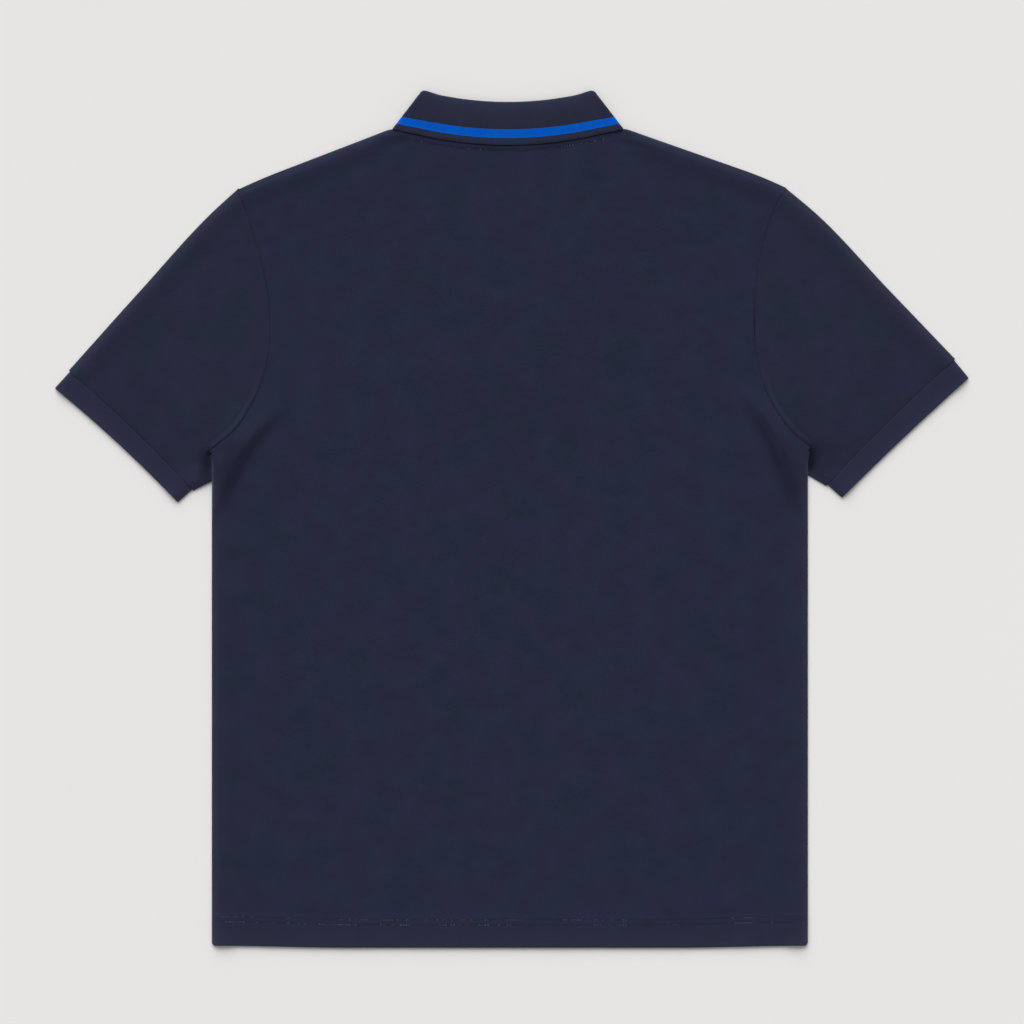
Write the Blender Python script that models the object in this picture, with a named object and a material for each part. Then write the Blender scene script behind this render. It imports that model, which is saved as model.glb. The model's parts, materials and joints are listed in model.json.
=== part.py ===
"""Short-sleeved polo shirt with a flat-knit collar, laid out flat on its front.

Sizes and places are in millimetres and become metres when a mesh is made. The shirt lies face down: the underside
of the front panel is at Z = 0, the collar points to +Y, and -X is the wearer's left. The back layers lie on the
front layers, and every edge where a layer turns round to the other is rolled.

A side of the shirt is described in its own terms: "reach" is how far a point is from X = 0 towards that side.
"""

import math
from dataclasses import dataclass

import bmesh
import bpy
import numpy as np

MM = 0.001

# Cloth
WALL = 1.2  # pique
BAND_WALL = 1.6  # sleeve band
COLLAR_WALL = 1.6  # flat-knit collar
HEM_FOLD = 1.0  # what the turned hem adds inside the wall
SEAM_GAP = 0.3
LAYER_GAP = 0.4

# Rolled edges
ROLL = 3.2  # how far in from the edge the roll ends
PUFF = 2.1  # how far the cloth beside a rolled edge stands above the middle
PUFF_CREST = 8.0
PUFF_END = 26.0
ROLL_STEPS = (0.0, 45.0, 90.0)  # degrees round the roll

# Body
HEM_CORNER_Y = -393.7
HEM_SAG = 1.9
HEM_SAG_FLAT = 150.0  # the sag is full within this reach
HEM_DEPTH = 29.0
UNDERARM_Y = 63.0
NECK_POINT_Y = 361.7
NECK_POINT_OFF = 98.0  # from the collar's centre line
SHOULDER_LINE_Y = 364.2  # where the shoulders' straight lines pass the neck point
NECK_DIP_END = 14.0  # the dip beside the collar ends this far from the neck point
BACK_NECK_DROP = 13.5
FRONT_NECK_DROP = 86.0
NECK_X = -3.5  # the collar's and placket's centre line

# Sleeves
BAND_SEAM_BOW = 2.0  # how far the band's seam bows towards the body
BAND_STEP = 1.5  # how much further in than the sleeve's the band's folds are
BAND_PUFF = 0.6

# Collar
ROLL_LINE_Y = 385.1  # crest at the centre of the back
ROLL_LINE_BOW = 0.0016  # rise per square millimetre off the centre line
LEAF_EDGE_Y = 345.2
LEAF_EDGE_BOW = 0.0014
COLLAR_MID = 4.6  # height of the plane between its back and front halves
STAND_LEVEL = 1.7  # from that plane to the middle of the stand
LEAF_LEVEL = 3.8  # from that plane to the middle of the leaf
COLLAR_POINT_Y = 242.0
ROLL_FOLD = (76.2, 395.5)  # (off the centre line, Y) of the side fold's upper end
LEAF_FOLD = (104.0, 360.4)  # its lower end
STAND_FOLD = (95.8, 361.9)  # where the stand's seam turns
ROLL_FRONT = ((63.0, 322.0), (3.2, 304.0))  # the roll line's pull and its end at the centre front
LEAF_FRONT = ((99.0, 300.0), (50.0, COLLAR_POINT_Y))  # the outer edge's pull and the point

# Placket
PLACKET_HALF = 17.0
PLACKET_FOOT_Y = 127.0
UNDER_PLACKET_HALF = 16.0
BUTTON_Y = (261.0, 213.0, 165.0)

# Buttons
BUTTON_RADIUS = 5.75
BUTTON_THICK = 1.9
BUTTON_RIM = 1.4
BUTTON_DISH = 0.5
BUTTON_HOLE_RADIUS = 0.8
BUTTON_HOLE_OFF = 1.35

# How the layers rise over what lies under them
FRONT_RISE = 2.3
FRONT_SPREAD = 30.0
BACK_RISE = 4.1
BACK_SPREAD = 110.0

BODY_NAVY = (0.0185, 0.0225, 0.0450, 1.0)
KNIT_NAVY = (0.0205, 0.0245, 0.0455, 1.0)
BUTTON_NAVY = (0.0120, 0.0150, 0.0320, 1.0)


@dataclass(frozen=True)
class Fold:
    """A soft ridge over a curve from start past middle to end, each a (reach, Y) pair."""

    start: tuple
    middle: tuple
    end: tuple
    width: float
    height: float


@dataclass(frozen=True)
class Side:
    """One side of the shirt; every pair is (reach, Y)."""

    name: str
    sign: float
    seam_reach: float  # the body's straight side
    armhole: tuple  # from the underarm to the shoulder tip
    shoulder_slope: float
    tip_drop: float  # how far the shoulder tip falls below the shoulder's straight line
    overarm: tuple  # from the shoulder tip to the band
    underarm: tuple  # from the body's side to the band
    opening: tuple  # the opening's two corners, over and under the arm
    opening_bow: float  # how far the opening's edge bows towards the body
    folds: tuple


LEFT = Side(
    name="left",
    sign=-1.0,
    seam_reach=276.9,
    armhole=((279.0, 63.0), (259.0, 79.0), (240.7, 105.0), (228.0, 138.0),
             (223.3, 186.0), (230.6, 235.0), (244.2, 279.0), (253.6, 304.3)),
    shoulder_slope=0.383,
    tip_drop=2.0,
    overarm=((253.6, 304.3), (274.0, 285.8), (342.4, 211.7), (409.0, 137.4)),
    underarm=((277.3, 35.0), (294.0, 26.4)),
    opening=((422.0, 121.0), (308.4, 15.6)),
    opening_bow=2.4,
    folds=(
        Fold((201.0, 104.0), (245.5, 73.0), (274.0, -12.0), 9.5, 4.8),
        Fold((204.0, 72.0), (228.0, 46.0), (252.0, -8.0), 14.0, 0.8),
    ),
)
RIGHT = Side(
    name="right",
    sign=1.0,
    seam_reach=273.4,
    armhole=((278.0, 63.0), (260.8, 79.0), (241.4, 105.0), (229.0, 138.0),
             (223.8, 186.0), (228.8, 235.0), (239.6, 279.0), (253.4, 305.4)),
    shoulder_slope=0.350,
    tip_drop=2.6,
    overarm=((253.4, 305.4), (277.3, 285.6), (348.4, 211.7), (409.4, 148.0)),
    underarm=((273.8, 40.7), (290.3, 30.9)),
    opening=((422.0, 130.5), (305.0, 19.9)),
    opening_bow=1.2,
    folds=(
        Fold((202.0, 122.0), (243.0, 78.0), (267.0, -4.0), 9.5, 5.0),
        Fold((204.0, 78.0), (228.0, 48.0), (248.0, -4.0), 14.0, 0.8),
    ),
)
SIDES = (LEFT, RIGHT)

# Grid lines of the panels, in millimetres from the edge or as a share of what is left
SIDE_LINES = (PUFF_CREST, 16.0, PUFF_END, 38.0, 54.0, 78.0, 112.0)
NECK_SIDE_LINES = (25.0, 12.0, 2.5)  # out from the neck point
NECK_LINES = (0.0, 25.0, 48.0, 66.0)  # degrees round the neck from its side
HEM_LINES = (0.0, 1.1, 15.0, 27.0, 31.0, 64.0)
LOW_ROWS = (-270.0, -190.0, -110.0, -50.0, -10.0, 15.0, 36.0, 53.0, 63.0, 76.0, 88.0, 100.0, 113.0)
HIGH_ROWS = (0.0, 0.14, 0.3, 0.48, 0.66, 0.83, 1.0)  # from the placket's foot to the puff's end
TOP_LINES = (16.0, PUFF_CREST)
SIDE_STEADY = 150.0  # from here inwards the grid's columns are straight

# Grid lines of the sleeves
SLEEVE_RINGS = (0.0, 0.1, 0.22, 0.36, 0.52, 0.68, 0.85, 1.0)
BAND_RINGS = (0.0, 0.5, 0.94, 1.0)
BAND_LINES = 6  # across the band, between its two puffs

# Grid lines of the collar
BACK_STATIONS = (0.0, 0.18, 0.36, 0.54, 0.7, 0.84, 0.94, 1.0)
FOLD_TURNS = (45.0, 90.0, 135.0)  # degrees round its side fold
FRONT_STATIONS = (0.0, 0.06, 0.12, 0.22, 0.34, 0.46, 0.58, 0.7, 0.82, 0.91, 1.0)
STAND_SHARES = (1.0, 0.55)
LEAF_SHARES = (0.4, 0.7)

PLACKET_ROWS = 12
BUTTON_STEPS = 24


def smooth(value):
    """0 up to 0, 1 from 1, and a soft step between them."""
    value = np.clip(value, 0.0, 1.0)
    return value * value * (3.0 - 2.0 * value)


def spline(rows, keys, at):
    """The rows' value at each place of at, on a smooth curve through them; keys holds the rows' rising places."""
    values = np.array(rows, dtype=float)
    keys = np.array(keys, dtype=float)
    slope = np.gradient(values, keys, axis=0)
    at = np.clip(at, keys[0], keys[-1])
    index = np.clip(np.searchsorted(keys, at, side="right") - 1, 0, len(keys) - 2)
    span = keys[index + 1] - keys[index]
    t = (at - keys[index]) / span
    if values.ndim > 1:
        t, span = t[..., None], span[..., None]
    rise = t * t * (3 - 2 * t)
    return (values[index] * (1 - rise) + values[index + 1] * rise
            + span * (slope[index] * t * (1 - t) ** 2 - slope[index + 1] * t * t * (1 - t)))


def path(points, share):
    """The points at each share of the length of the smooth curve through (reach, Y) pairs."""
    points = np.array(points, dtype=float)
    lengths = np.hypot(*np.diff(points, axis=0).T)
    keys = np.concatenate([[0.0], np.cumsum(lengths)]) / lengths.sum()
    return spline(points, keys, np.asarray(share, dtype=float))


def ridge(x, y, sides=SIDES):
    """How far the folds beside each underarm lift the cloth."""
    lift = np.zeros(np.broadcast(x, y).shape)
    share = np.linspace(0.0, 1.0, 33)
    for side in sides:
        for fold in side.folds:
            start, middle, end = (np.array(p) for p in (fold.start, fold.middle, fold.end))
            t = share[:, None]
            line = (1 - t) ** 2 * start + 2 * t * (1 - t) * (2 * middle - (start + end) / 2) + t * t * end
            away = np.hypot(x[..., None] * side.sign - line[:, 0], y[..., None] - line[:, 1])
            nearest = away.argmin(axis=-1)
            taper = smooth(share[nearest] * 3.0) * smooth((1.0 - share[nearest]) * 3.0)
            lift = lift + fold.height * taper * np.exp(-((away.min(axis=-1) / fold.width) ** 2))
    return lift


def side_reach(side, y):
    """The reach of the body's edge: its straight side, then the armhole."""
    y = np.asarray(y, dtype=float)
    rows = np.array(side.armhole)
    armhole = spline(rows[:, 0], rows[:, 1], y)
    straight = side.seam_reach + (rows[0, 0] - side.seam_reach) * smooth((y - 50.0) / (UNDERARM_Y - 50.0))
    return np.where(y < UNDERARM_Y, straight, armhole)


def rolled_share(y):
    """1 on the body's side, where its edge is rolled, and 0 on the armhole, where it is a seam."""
    return 1.0 - smooth((np.asarray(y) - 52.0) / 10.0)


def shoulder_y(x):
    """The shoulder's height, to the side that x is on."""
    x = np.asarray(x, dtype=float)
    result = np.zeros_like(x)
    for side in SIDES:
        reach = x * side.sign
        neck = NECK_POINT_OFF + NECK_X * side.sign
        tip = side.armhole[-1][0]
        line = SHOULDER_LINE_Y - side.shoulder_slope * (reach - neck)
        drop = side.tip_drop * np.clip((reach - tip + 40.0) / 40.0, 0.0, 1.5) ** 2
        dip = (SHOULDER_LINE_Y - NECK_POINT_Y) * (1 - smooth((reach - neck) / NECK_DIP_END))
        result = np.where(reach > 0, line - drop - dip, result)
    return result


def top_y(x, neck_drop, round_neck):
    """The height of a panel's upper edge: a shoulder, the neck seam and the other shoulder."""
    x = np.asarray(x, dtype=float)
    off = np.clip(np.abs(x - NECK_X) / NECK_POINT_OFF, 0.0, 1.0)
    shape = np.sqrt(1.0 - off * off) if round_neck else 1.0 - off * off
    in_neck = np.abs(x - NECK_X) < NECK_POINT_OFF
    return np.where(in_neck, NECK_POINT_Y - neck_drop * shape, shoulder_y(x))


def hem_y(x):
    """The height of the hem's edge."""
    side = np.where(np.asarray(x) < 0, LEFT.seam_reach, RIGHT.seam_reach)
    return HEM_CORNER_Y - HEM_SAG * (1 - smooth((np.abs(x) - HEM_SAG_FLAT) / (side - HEM_SAG_FLAT)))


def support(x, y, spread):
    """0 to 1: how fully the collar's points, the placket and its buttons hold up the cloth above them."""
    off = np.abs(x - NECK_X)
    leaf_half = np.interp(y, (COLLAR_POINT_Y, 300.0, 360.0), (53.0, 100.0, 110.0))
    leaf = np.hypot(np.maximum(off - leaf_half, 0), np.maximum(COLLAR_POINT_Y - y, 0))
    lowest = BUTTON_Y[-1] - 2 * BUTTON_RADIUS
    strip = np.hypot(np.maximum(off - PLACKET_HALF, 0), np.maximum(lowest - y, 0))
    return 1.0 - smooth(leaf / spread) * smooth(strip / spread)


def wall(x, y):
    """The body's thickness, doubled by the turned hem."""
    return WALL + HEM_FOLD * (1 - smooth((y - hem_y(x) - HEM_DEPTH + 2.0) / 4.0))


def front_under(x, y):
    """The height of the front panel's outer face, which lies on the floor."""
    return FRONT_RISE * support(x, y, FRONT_SPREAD)


def back_under(x, y):
    """The height of the back panel's inner face, without its folds."""
    hem = HEM_FOLD * (1 - smooth((y - hem_y(x) - HEM_DEPTH) / 35.0))
    return WALL + LAYER_GAP + hem + BACK_RISE * support(x, y, BACK_SPREAD)


def puff(distance):
    """How far the cloth stands up at a distance from a rolled edge."""
    rise = smooth(distance / PUFF_CREST)
    fall = 1 - smooth((distance - PUFF_CREST) / (PUFF_END - PUFF_CREST))
    return PUFF * rise * fall


def roll_line(angle, thickness, rolled, inner):
    """(distance from the edge, share of the height climbed) at an angle round the roll of a cloth that thick."""
    turn = math.radians(angle)
    flat = ROLL * (1 - math.cos(turn))
    curled = thickness + (ROLL - thickness) * (1 - math.cos(turn)) if inner else flat
    return flat + rolled * (curled - flat), 1 + rolled * (math.sin(turn) - 1)


def closed_body(name, outer, inner, material, wrap=False, kept=None):
    """One closed mesh between two grids of points; wrap joins the last column to the first, and kept marks the
    cells that are cloth."""
    rows, columns = outer.shape[:2]
    cells = columns if wrap else columns - 1
    kept = np.ones((rows - 1, cells), dtype=bool) if kept is None else kept
    step = rows * columns
    faces = []
    edges = set()
    for row, cell in zip(*np.nonzero(kept)):
        left, right = cell, (cell + 1) % columns
        ring = [row * columns + left, row * columns + right,
                (row + 1) * columns + right, (row + 1) * columns + left]
        faces.append(ring)
        faces.append([corner + step for corner in reversed(ring)])
        edges.update(zip(ring, ring[1:] + ring[:1]))
    for a, b in sorted(edges):
        if (b, a) not in edges:
            faces.append([b, a, a + step, b + step])
    points = np.concatenate([outer.reshape(-1, 3), inner.reshape(-1, 3)]) * MM
    used = sorted({corner for face in faces for corner in face})
    place = {corner: index for index, corner in enumerate(used)}
    mesh = bpy.data.meshes.new(name)
    mesh.from_pydata([tuple(points[k]) for k in used], [], [[place[k] for k in face] for face in faces])
    return finish(name, mesh, material)


def finish(name, mesh, material, smooth_angle=40.0):
    """Turns the faces outwards, shades them smooth and links the object."""
    shape = bmesh.new()
    shape.from_mesh(mesh)
    if shape.calc_volume(signed=True) < 0:
        bmesh.ops.reverse_faces(shape, faces=shape.faces)
    shape.to_mesh(mesh)
    shape.free()
    mesh.shade_smooth()
    mesh.set_sharp_from_angle(angle=math.radians(smooth_angle))
    mesh.materials.append(material)
    piece = bpy.data.objects.new(name, mesh)
    bpy.context.scene.collection.objects.link(piece)
    return piece


def make_material(name, colour, roughness, sheen=0.0):
    """A Principled material of one colour."""
    material = bpy.data.materials.new(name)
    material.use_nodes = True
    shader = material.node_tree.nodes["Principled BSDF"]
    shader.inputs["Base Color"].default_value = colour
    shader.inputs["Roughness"].default_value = roughness
    shader.inputs["Metallic"].default_value = 0.0
    shader.inputs["Sheen Weight"].default_value = sheen
    return material


def panel_columns():
    """The grid's columns from left to right: (side or None, roll angle or None, distance in or nominal X)."""
    half = [(angle, 0.0) for angle in ROLL_STEPS] + [(None, distance) for distance in SIDE_LINES]
    neck = [-NECK_POINT_OFF - distance for distance in NECK_SIDE_LINES]
    neck += [-NECK_POINT_OFF * math.cos(math.radians(angle)) for angle in NECK_LINES]
    neck.append(-PLACKET_HALF - SEAM_GAP)
    middle = [(None, None, NECK_X + x) for x in neck + [0.0] + [-x for x in reversed(neck)]]
    left = [(LEFT, angle, distance) for angle, distance in half]
    right = [(RIGHT, angle, distance) for angle, distance in reversed(half)]
    return left + middle + right


def panel_rows():
    """The grid's rows from the hem up: (kind, value)."""
    rows = [("hem", distance) for distance in HEM_LINES]
    rows += [("level", y) for y in LOW_ROWS]
    rows += [("share", share) for share in HIGH_ROWS]
    rows += [("top", distance) for distance in TOP_LINES]
    return rows + [("roll", angle) for angle in reversed(ROLL_STEPS)]


def panel_points(back, inner):
    """The grid of points of one face of the back or front panel, and for each how far round the rolls it is."""
    columns, rows = panel_columns(), panel_rows()
    nominal = np.array([x if side is None else side.sign * (side.seam_reach - x - (ROLL if angle is not None else 0))
                        for side, angle, x in columns])
    x = np.tile(nominal, (len(rows), 1))
    y = np.zeros_like(x)
    climbed = np.ones_like(x)
    drop = BACK_NECK_DROP if back else FRONT_NECK_DROP
    for _ in range(4):  # a row's height depends on X, and a column's X on the height
        climbed[:] = 1.0
        for j, (kind, value) in enumerate(rows):
            upper = top_y(x[j], drop, not back)
            in_neck = np.abs(x[j] - NECK_X) < NECK_POINT_OFF + 0.01
            upper = upper - np.where(in_neck, SEAM_GAP, 0.0)
            if kind == "hem":
                y[j] = hem_y(x[j]) + value
            elif kind == "level":
                y[j] = value
            elif kind == "share":
                y[j] = PLACKET_FOOT_Y + value * (upper - PUFF_END - PLACKET_FOOT_Y)
            elif kind == "top":
                y[j] = upper - value
            else:
                rolled = np.where(in_neck, 0.0, 1.0)
                distance, share = roll_line(value, WALL, rolled, inner)
                y[j] = upper - distance
                climbed[j] *= share
        for i, (side, angle, value) in enumerate(columns):
            if side is None:
                continue
            edge = side_reach(side, y[:, i]) - np.where(y[:, i] > UNDERARM_Y, SEAM_GAP / 2, 0.0)
            distance = value
            if angle is not None:
                distance, share = roll_line(angle, WALL, rolled_share(y[:, i]), inner)
                climbed[:, i] *= share
            shift = (edge - side.seam_reach) * np.clip(1 - distance / SIDE_STEADY, 0.0, 1.0)
            x[:, i] = side.sign * (side.seam_reach + shift - distance)
    return x, y, climbed


def edge_puff(x, y, back):
    """The stand-up of the cloth beside the body's rolled sides and shoulders."""
    reach = np.where(x < 0, -x, x)
    edge = np.where(x < 0, side_reach(LEFT, y), side_reach(RIGHT, y))
    beside = puff(edge - reach) * rolled_share(y)
    below = top_y(x, BACK_NECK_DROP if back else FRONT_NECK_DROP, not back) - y
    on_shoulder = smooth((np.abs(x - NECK_X) - NECK_POINT_OFF - 6.0) / 20.0)
    return beside + puff(below) * on_shoulder


def make_panel(name, back, material):
    """The back or the front, with rolled sides and shoulders, a turned hem, and the front's placket slot."""
    faces = []
    for inner in (False, True):
        x, y, climbed = panel_points(back, inner)
        thick = wall(x, y)
        low = back_under(x, y)
        seam = (low + front_under(x, y) + thick) / 2
        if back:
            base = low + edge_puff(x, y, back) + ridge(x, y)
            full = base if inner else base + thick
            start = seam + SEAM_GAP / 2
        else:
            base = front_under(x, y)
            full = base + thick if inner else base
            start = seam - SEAM_GAP / 2
        z = start + (full - start) * climbed
        faces.append(np.stack([x, y, z], axis=-1))
    outer, inner = faces
    middle = (outer[0, :, 2] + inner[0, :, 2]) / 2
    for face in faces:  # the hem's fold is round
        face[0, :, 2] = middle + 0.4 * (face[0, :, 2] - middle)
    kept = None
    if not back:
        columns, rows = panel_columns(), panel_rows()
        centre = next(i for i, column in enumerate(columns) if column[0] is None and column[2] == NECK_X)
        foot = next(j for j, row in enumerate(rows) if row == ("share", 0.0))
        kept = np.ones((len(rows) - 1, len(columns) - 1), dtype=bool)
        kept[foot:, centre - 1:centre + 1] = False
    return closed_body(name, outer, inner, material, kept=kept)


def armhole_points(side):
    """The sleeve's end line: down the armhole from the shoulder tip, with the panels' own rows as its points,
    and on beside the body to where the sleeve's lower fold starts. Also the shares of its length at which the
    rows from the puff's end to the underarm lie."""
    x, y, _ = panel_points(True, False)
    column = 0 if side.sign < 0 else -1
    reach, height = x[::-1, column] * side.sign + SEAM_GAP, y[::-1, column]
    low_y = side.underarm[0][1]
    above = height > low_y
    points = np.column_stack([reach[above], height[above]])
    points = np.vstack([points, (side.seam_reach + SEAM_GAP, low_y)])
    shares = length_shares(points)
    rows = (points[:, 1] >= UNDERARM_Y - 0.01) & (np.arange(len(points)) >= len(ROLL_STEPS) + 2)
    return points, shares[rows]


def length_shares(points):
    """How far along a line of points each one is, as a share of its length."""
    lengths = np.hypot(*np.diff(points, axis=0).T)
    return np.concatenate([[0.0], np.cumsum(lengths)]) / lengths.sum()


def along_points(points, share):
    """The points at each share of the length of a line of points."""
    keys = length_shares(points)
    return np.stack([np.interp(share, keys, points[:, axis]) for axis in (0, 1)], axis=-1)


def band_seam(side, share, gap=0.0, step=0.0):
    """The seam between sleeve and band, from over to under the arm, moved gap towards the hand and step in."""
    over, under = np.array(side.overarm[-1]), np.array(side.underarm[-1])
    return bowed_line(over, under, BAND_SEAM_BOW, share, gap, step)


def bowed_line(start, end, bow, share, gap=0.0, step=0.0):
    """A shallow bow from start to end: bow is towards the body, gap moves it towards the hand, and step
    shortens it at each end."""
    along = (end - start) / math.dist(start, end)
    hand = np.array((-along[1], along[0]))
    if hand[0] < 0:
        hand = -hand
    share = np.asarray(share, dtype=float)[..., None]
    line = start + along * step + (end - start - 2 * along * step) * share
    return line + hand * (gap - 4 * bow * share * (1 - share))


def tube_faces(head, foot, over, under, rings, rows, thick, puffed, lift, round_foot=1.0):
    """The outer and inner grids of a flattened tube of cloth, open at both ends.

    head and foot give the end lines from the over-arm fold to the underarm fold, and over and under the folds.
    Each ring runs across the back layer and home along the front layer. rows are the shares at which the lines
    between the puffs leave the head, puffed scales the stand-up beside the folds, lift raises the back layer,
    and round_foot thins the last ring's edge.
    """
    middle = thick + LAYER_GAP / 2
    ends = [np.hypot(*np.diff(line(np.linspace(0.0, 1.0, 65)), axis=0).T).sum() for line in (head, foot)]
    faces = []
    for inner in (False, True):
        near = [roll_line(angle, thick, 1.0, inner) for angle in ROLL_STEPS]
        near += [(distance, 1.0) for distance in (PUFF_CREST, 16.0)]
        distance, climbed = (np.array(column) for column in zip(*near))
        climbed = np.concatenate([climbed, np.ones(len(rows)), climbed[::-1]])
        grid = []
        for t in rings:
            width = ends[0] + (ends[1] - ends[0]) * t
            even = np.linspace(PUFF_END, ends[1] - PUFF_END, len(rows)) / ends[1]
            q = np.concatenate([distance / width, rows + (even - rows) * t, 1 - distance[::-1] / width])
            flat = ((1 - t) * head(q) + t * foot(q) + np.outer(1 - q, over(t)) + np.outer(q, under(t))
                    - (1 - t) * (np.outer(1 - q, head(0.0)) + np.outer(q, head(1.0)))
                    - t * (np.outer(1 - q, foot(0.0)) + np.outer(q, foot(1.0))))
            stand = puffed * (puff(q * width) + puff((1 - q) * width))
            full = middle + LAYER_GAP / 2 + stand + lift(flat) + (0.0 if inner else thick)
            back = middle + (full - middle) * climbed
            front = middle - (LAYER_GAP / 2 + (0.0 if inner else thick)) * climbed
            ring = np.concatenate([np.column_stack([flat, back]), np.column_stack([flat, front])[-2:0:-1]])
            grid.append(ring)
        faces.append(np.array(grid))
    outer, inner = faces
    middle_surface = (outer[-1] + inner[-1]) / 2
    outer[-1] = middle_surface + round_foot * (outer[-1] - middle_surface)
    inner[-1] = middle_surface + round_foot * (inner[-1] - middle_surface)
    return outer, inner


def mirrored(side, grid):
    """A grid of (reach, Y, Z) points as (X, Y, Z)."""
    return grid * np.array((side.sign, 1.0, 1.0))


def make_sleeve(side, material):
    """The sleeve: a flattened tube from the armhole to the band."""
    points, rows = armhole_points(side)
    over = (tuple(points[0]),) + side.overarm[1:]
    under = (tuple(points[-1]),) + side.underarm[1:]
    outer, inner = tube_faces(
        head=lambda share: along_points(points, share),
        foot=lambda share: band_seam(side, share),
        over=lambda share: path(over, share),
        under=lambda share: path(under, share),
        rings=SLEEVE_RINGS, rows=rows, thick=WALL, puffed=1.0,
        lift=lambda flat: ridge(flat[:, 0] * side.sign, flat[:, 1], (side,)))
    return closed_body(f"sleeve_{side.name}", mirrored(side, outer), mirrored(side, inner), material, wrap=True)


def make_band(side, material):
    """The sleeve's band: a thicker flattened tube with a rounded free edge."""
    corners = [np.array(corner) for corner in side.opening]
    seam_ends = [band_seam(side, end, SEAM_GAP, BAND_STEP) for end in (0.0, 1.0)]
    outer, inner = tube_faces(
        head=lambda share: band_seam(side, share, SEAM_GAP, BAND_STEP),
        foot=lambda share: bowed_line(corners[0], corners[1], side.opening_bow, share),
        over=lambda share: seam_ends[0] + (corners[0] - seam_ends[0]) * share,
        under=lambda share: seam_ends[1] + (corners[1] - seam_ends[1]) * share,
        rings=BAND_RINGS, rows=np.linspace(0.17, 0.83, BAND_LINES), thick=BAND_WALL, puffed=BAND_PUFF,
        lift=lambda flat: 0.0, round_foot=0.5)
    return closed_body(f"sleeve_band_{side.name}", mirrored(side, outer), mirrored(side, inner), material, wrap=True)


def quadratic(start, pull, end, share):
    """A point on the quadratic curve from start to end."""
    start, pull, end = (np.array(point) for point in (start, pull, end))
    return (1 - share) ** 2 * start + 2 * share * (1 - share) * pull + share * share * end


def back_station(share):
    """The roll line, the leaf's edge and the stand's seam at a share of the way from the centre of the back to
    the side fold, as (off, Y) points."""
    roll_off, leaf_off, stand_off = (share * fold[0] for fold in (ROLL_FOLD, LEAF_FOLD, STAND_FOLD))
    points = []
    for off, fold, middle_y, bow in ((roll_off, ROLL_FOLD, ROLL_LINE_Y, ROLL_LINE_BOW),
                                     (leaf_off, LEAF_FOLD, LEAF_EDGE_Y, LEAF_EDGE_BOW),
                                     (stand_off, STAND_FOLD, NECK_POINT_Y - BACK_NECK_DROP,
                                      BACK_NECK_DROP / NECK_POINT_OFF ** 2)):
        end_shift = fold[1] - middle_y - bow * fold[0] ** 2
        points.append(np.array((off, middle_y + bow * off ** 2 + end_shift * smooth(share * 5.0 - 4.0))))
    return tuple(points)


def front_station(share):
    """The same three points at a share of the way from the side fold to the centre front. The stand's seam keeps
    just inside the straight lines between the front panel's points."""
    offs = [column[2] - NECK_X for column in panel_columns() if column[0] is None and column[2] >= NECK_X]
    offs = np.array([off for off in offs if off <= NECK_POINT_OFF])
    edge = top_y(NECK_X + offs, FRONT_NECK_DROP, True) - SEAM_GAP
    turn = math.acos(ROLL_FRONT[1][0] / NECK_POINT_OFF) * share
    off = NECK_POINT_OFF * math.cos(turn)
    turned_in = (NECK_POINT_OFF - STAND_FOLD[0]) * (1 - float(smooth(share / 0.12)))
    gap = 1.5 * SEAM_GAP
    stand = np.array((off - gap * math.cos(turn) - turned_in, np.interp(off, offs, edge) + gap * math.sin(turn)))
    stand[1] += (STAND_FOLD[1] - NECK_POINT_Y + SEAM_GAP) * (1 - float(smooth(share / 0.12)))
    return quadratic(ROLL_FOLD, *ROLL_FRONT, share), quadratic(LEAF_FOLD, *LEAF_FRONT, share), stand


def collar_section(outside):
    """One face of the collar's section: (part, distance from the roll's crest or share, level) from the stand's
    seam over the roll to the leaf's edge."""
    centre = (STAND_LEVEL + LEAF_LEVEL) / 2
    half_wall = COLLAR_WALL / 2
    crest = centre - STAND_LEVEL + half_wall
    radius = crest if outside else crest - COLLAR_WALL
    away = half_wall if outside else -half_wall
    points = [("stand", share, STAND_LEVEL - away) for share in STAND_SHARES]
    for angle in (-90.0, -45.0, 0.0, 45.0, 90.0):
        turn = math.radians(angle)
        part = "stand roll" if angle < 0 else "leaf roll"
        points.append((part, crest - radius * math.cos(turn), centre + radius * math.sin(turn)))
    points += [("leaf", share, LEAF_LEVEL + away) for share in LEAF_SHARES]
    points.append(("leaf", 1.0, LEAF_LEVEL + away / 2))
    return points


def collar_ring(station, sign, turn, outside):
    """The section's points at one station, turned round the side fold from the back (0) to the front (180)."""
    roll, leaf, stand = station
    fold = np.array(LEAF_FOLD) - np.array(ROLL_FOLD)
    outward = -fold[1] / np.hypot(*fold)
    crest = (LEAF_LEVEL - STAND_LEVEL) / 2 + COLLAR_WALL / 2
    ring = []
    for part, value, level in collar_section(outside):
        target = stand if part.startswith("stand") else leaf
        length = math.dist(target, roll)
        distance = value if part.endswith("roll") else crest + (length - crest) * value
        place = roll + (target - roll) * (distance / length)
        place = place + np.array((outward * level * math.sin(math.radians(turn)), 0.0))
        height = COLLAR_MID + level * math.cos(math.radians(turn))
        ring.append((NECK_X + sign * place[0], place[1], height))
    return ring


def make_collar(material):
    """The flat-knit collar: stand and leaf in one, folded at the roll line and round the sides of the neck."""
    half = [(back_station(share), 0.0) for share in BACK_STATIONS]
    half += [(back_station(1.0), turn) for turn in FOLD_TURNS]
    half += [(front_station(share), 180.0) for share in FRONT_STATIONS]
    stations = [(station, -1.0, turn) for station, turn in reversed(half)]
    stations += [(station, 1.0, turn) for station, turn in half[1:]]
    outer, inner = (np.array([collar_ring(*station, outside) for station in stations]) for outside in (True, False))
    return closed_body("collar", outer, inner, material)


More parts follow.
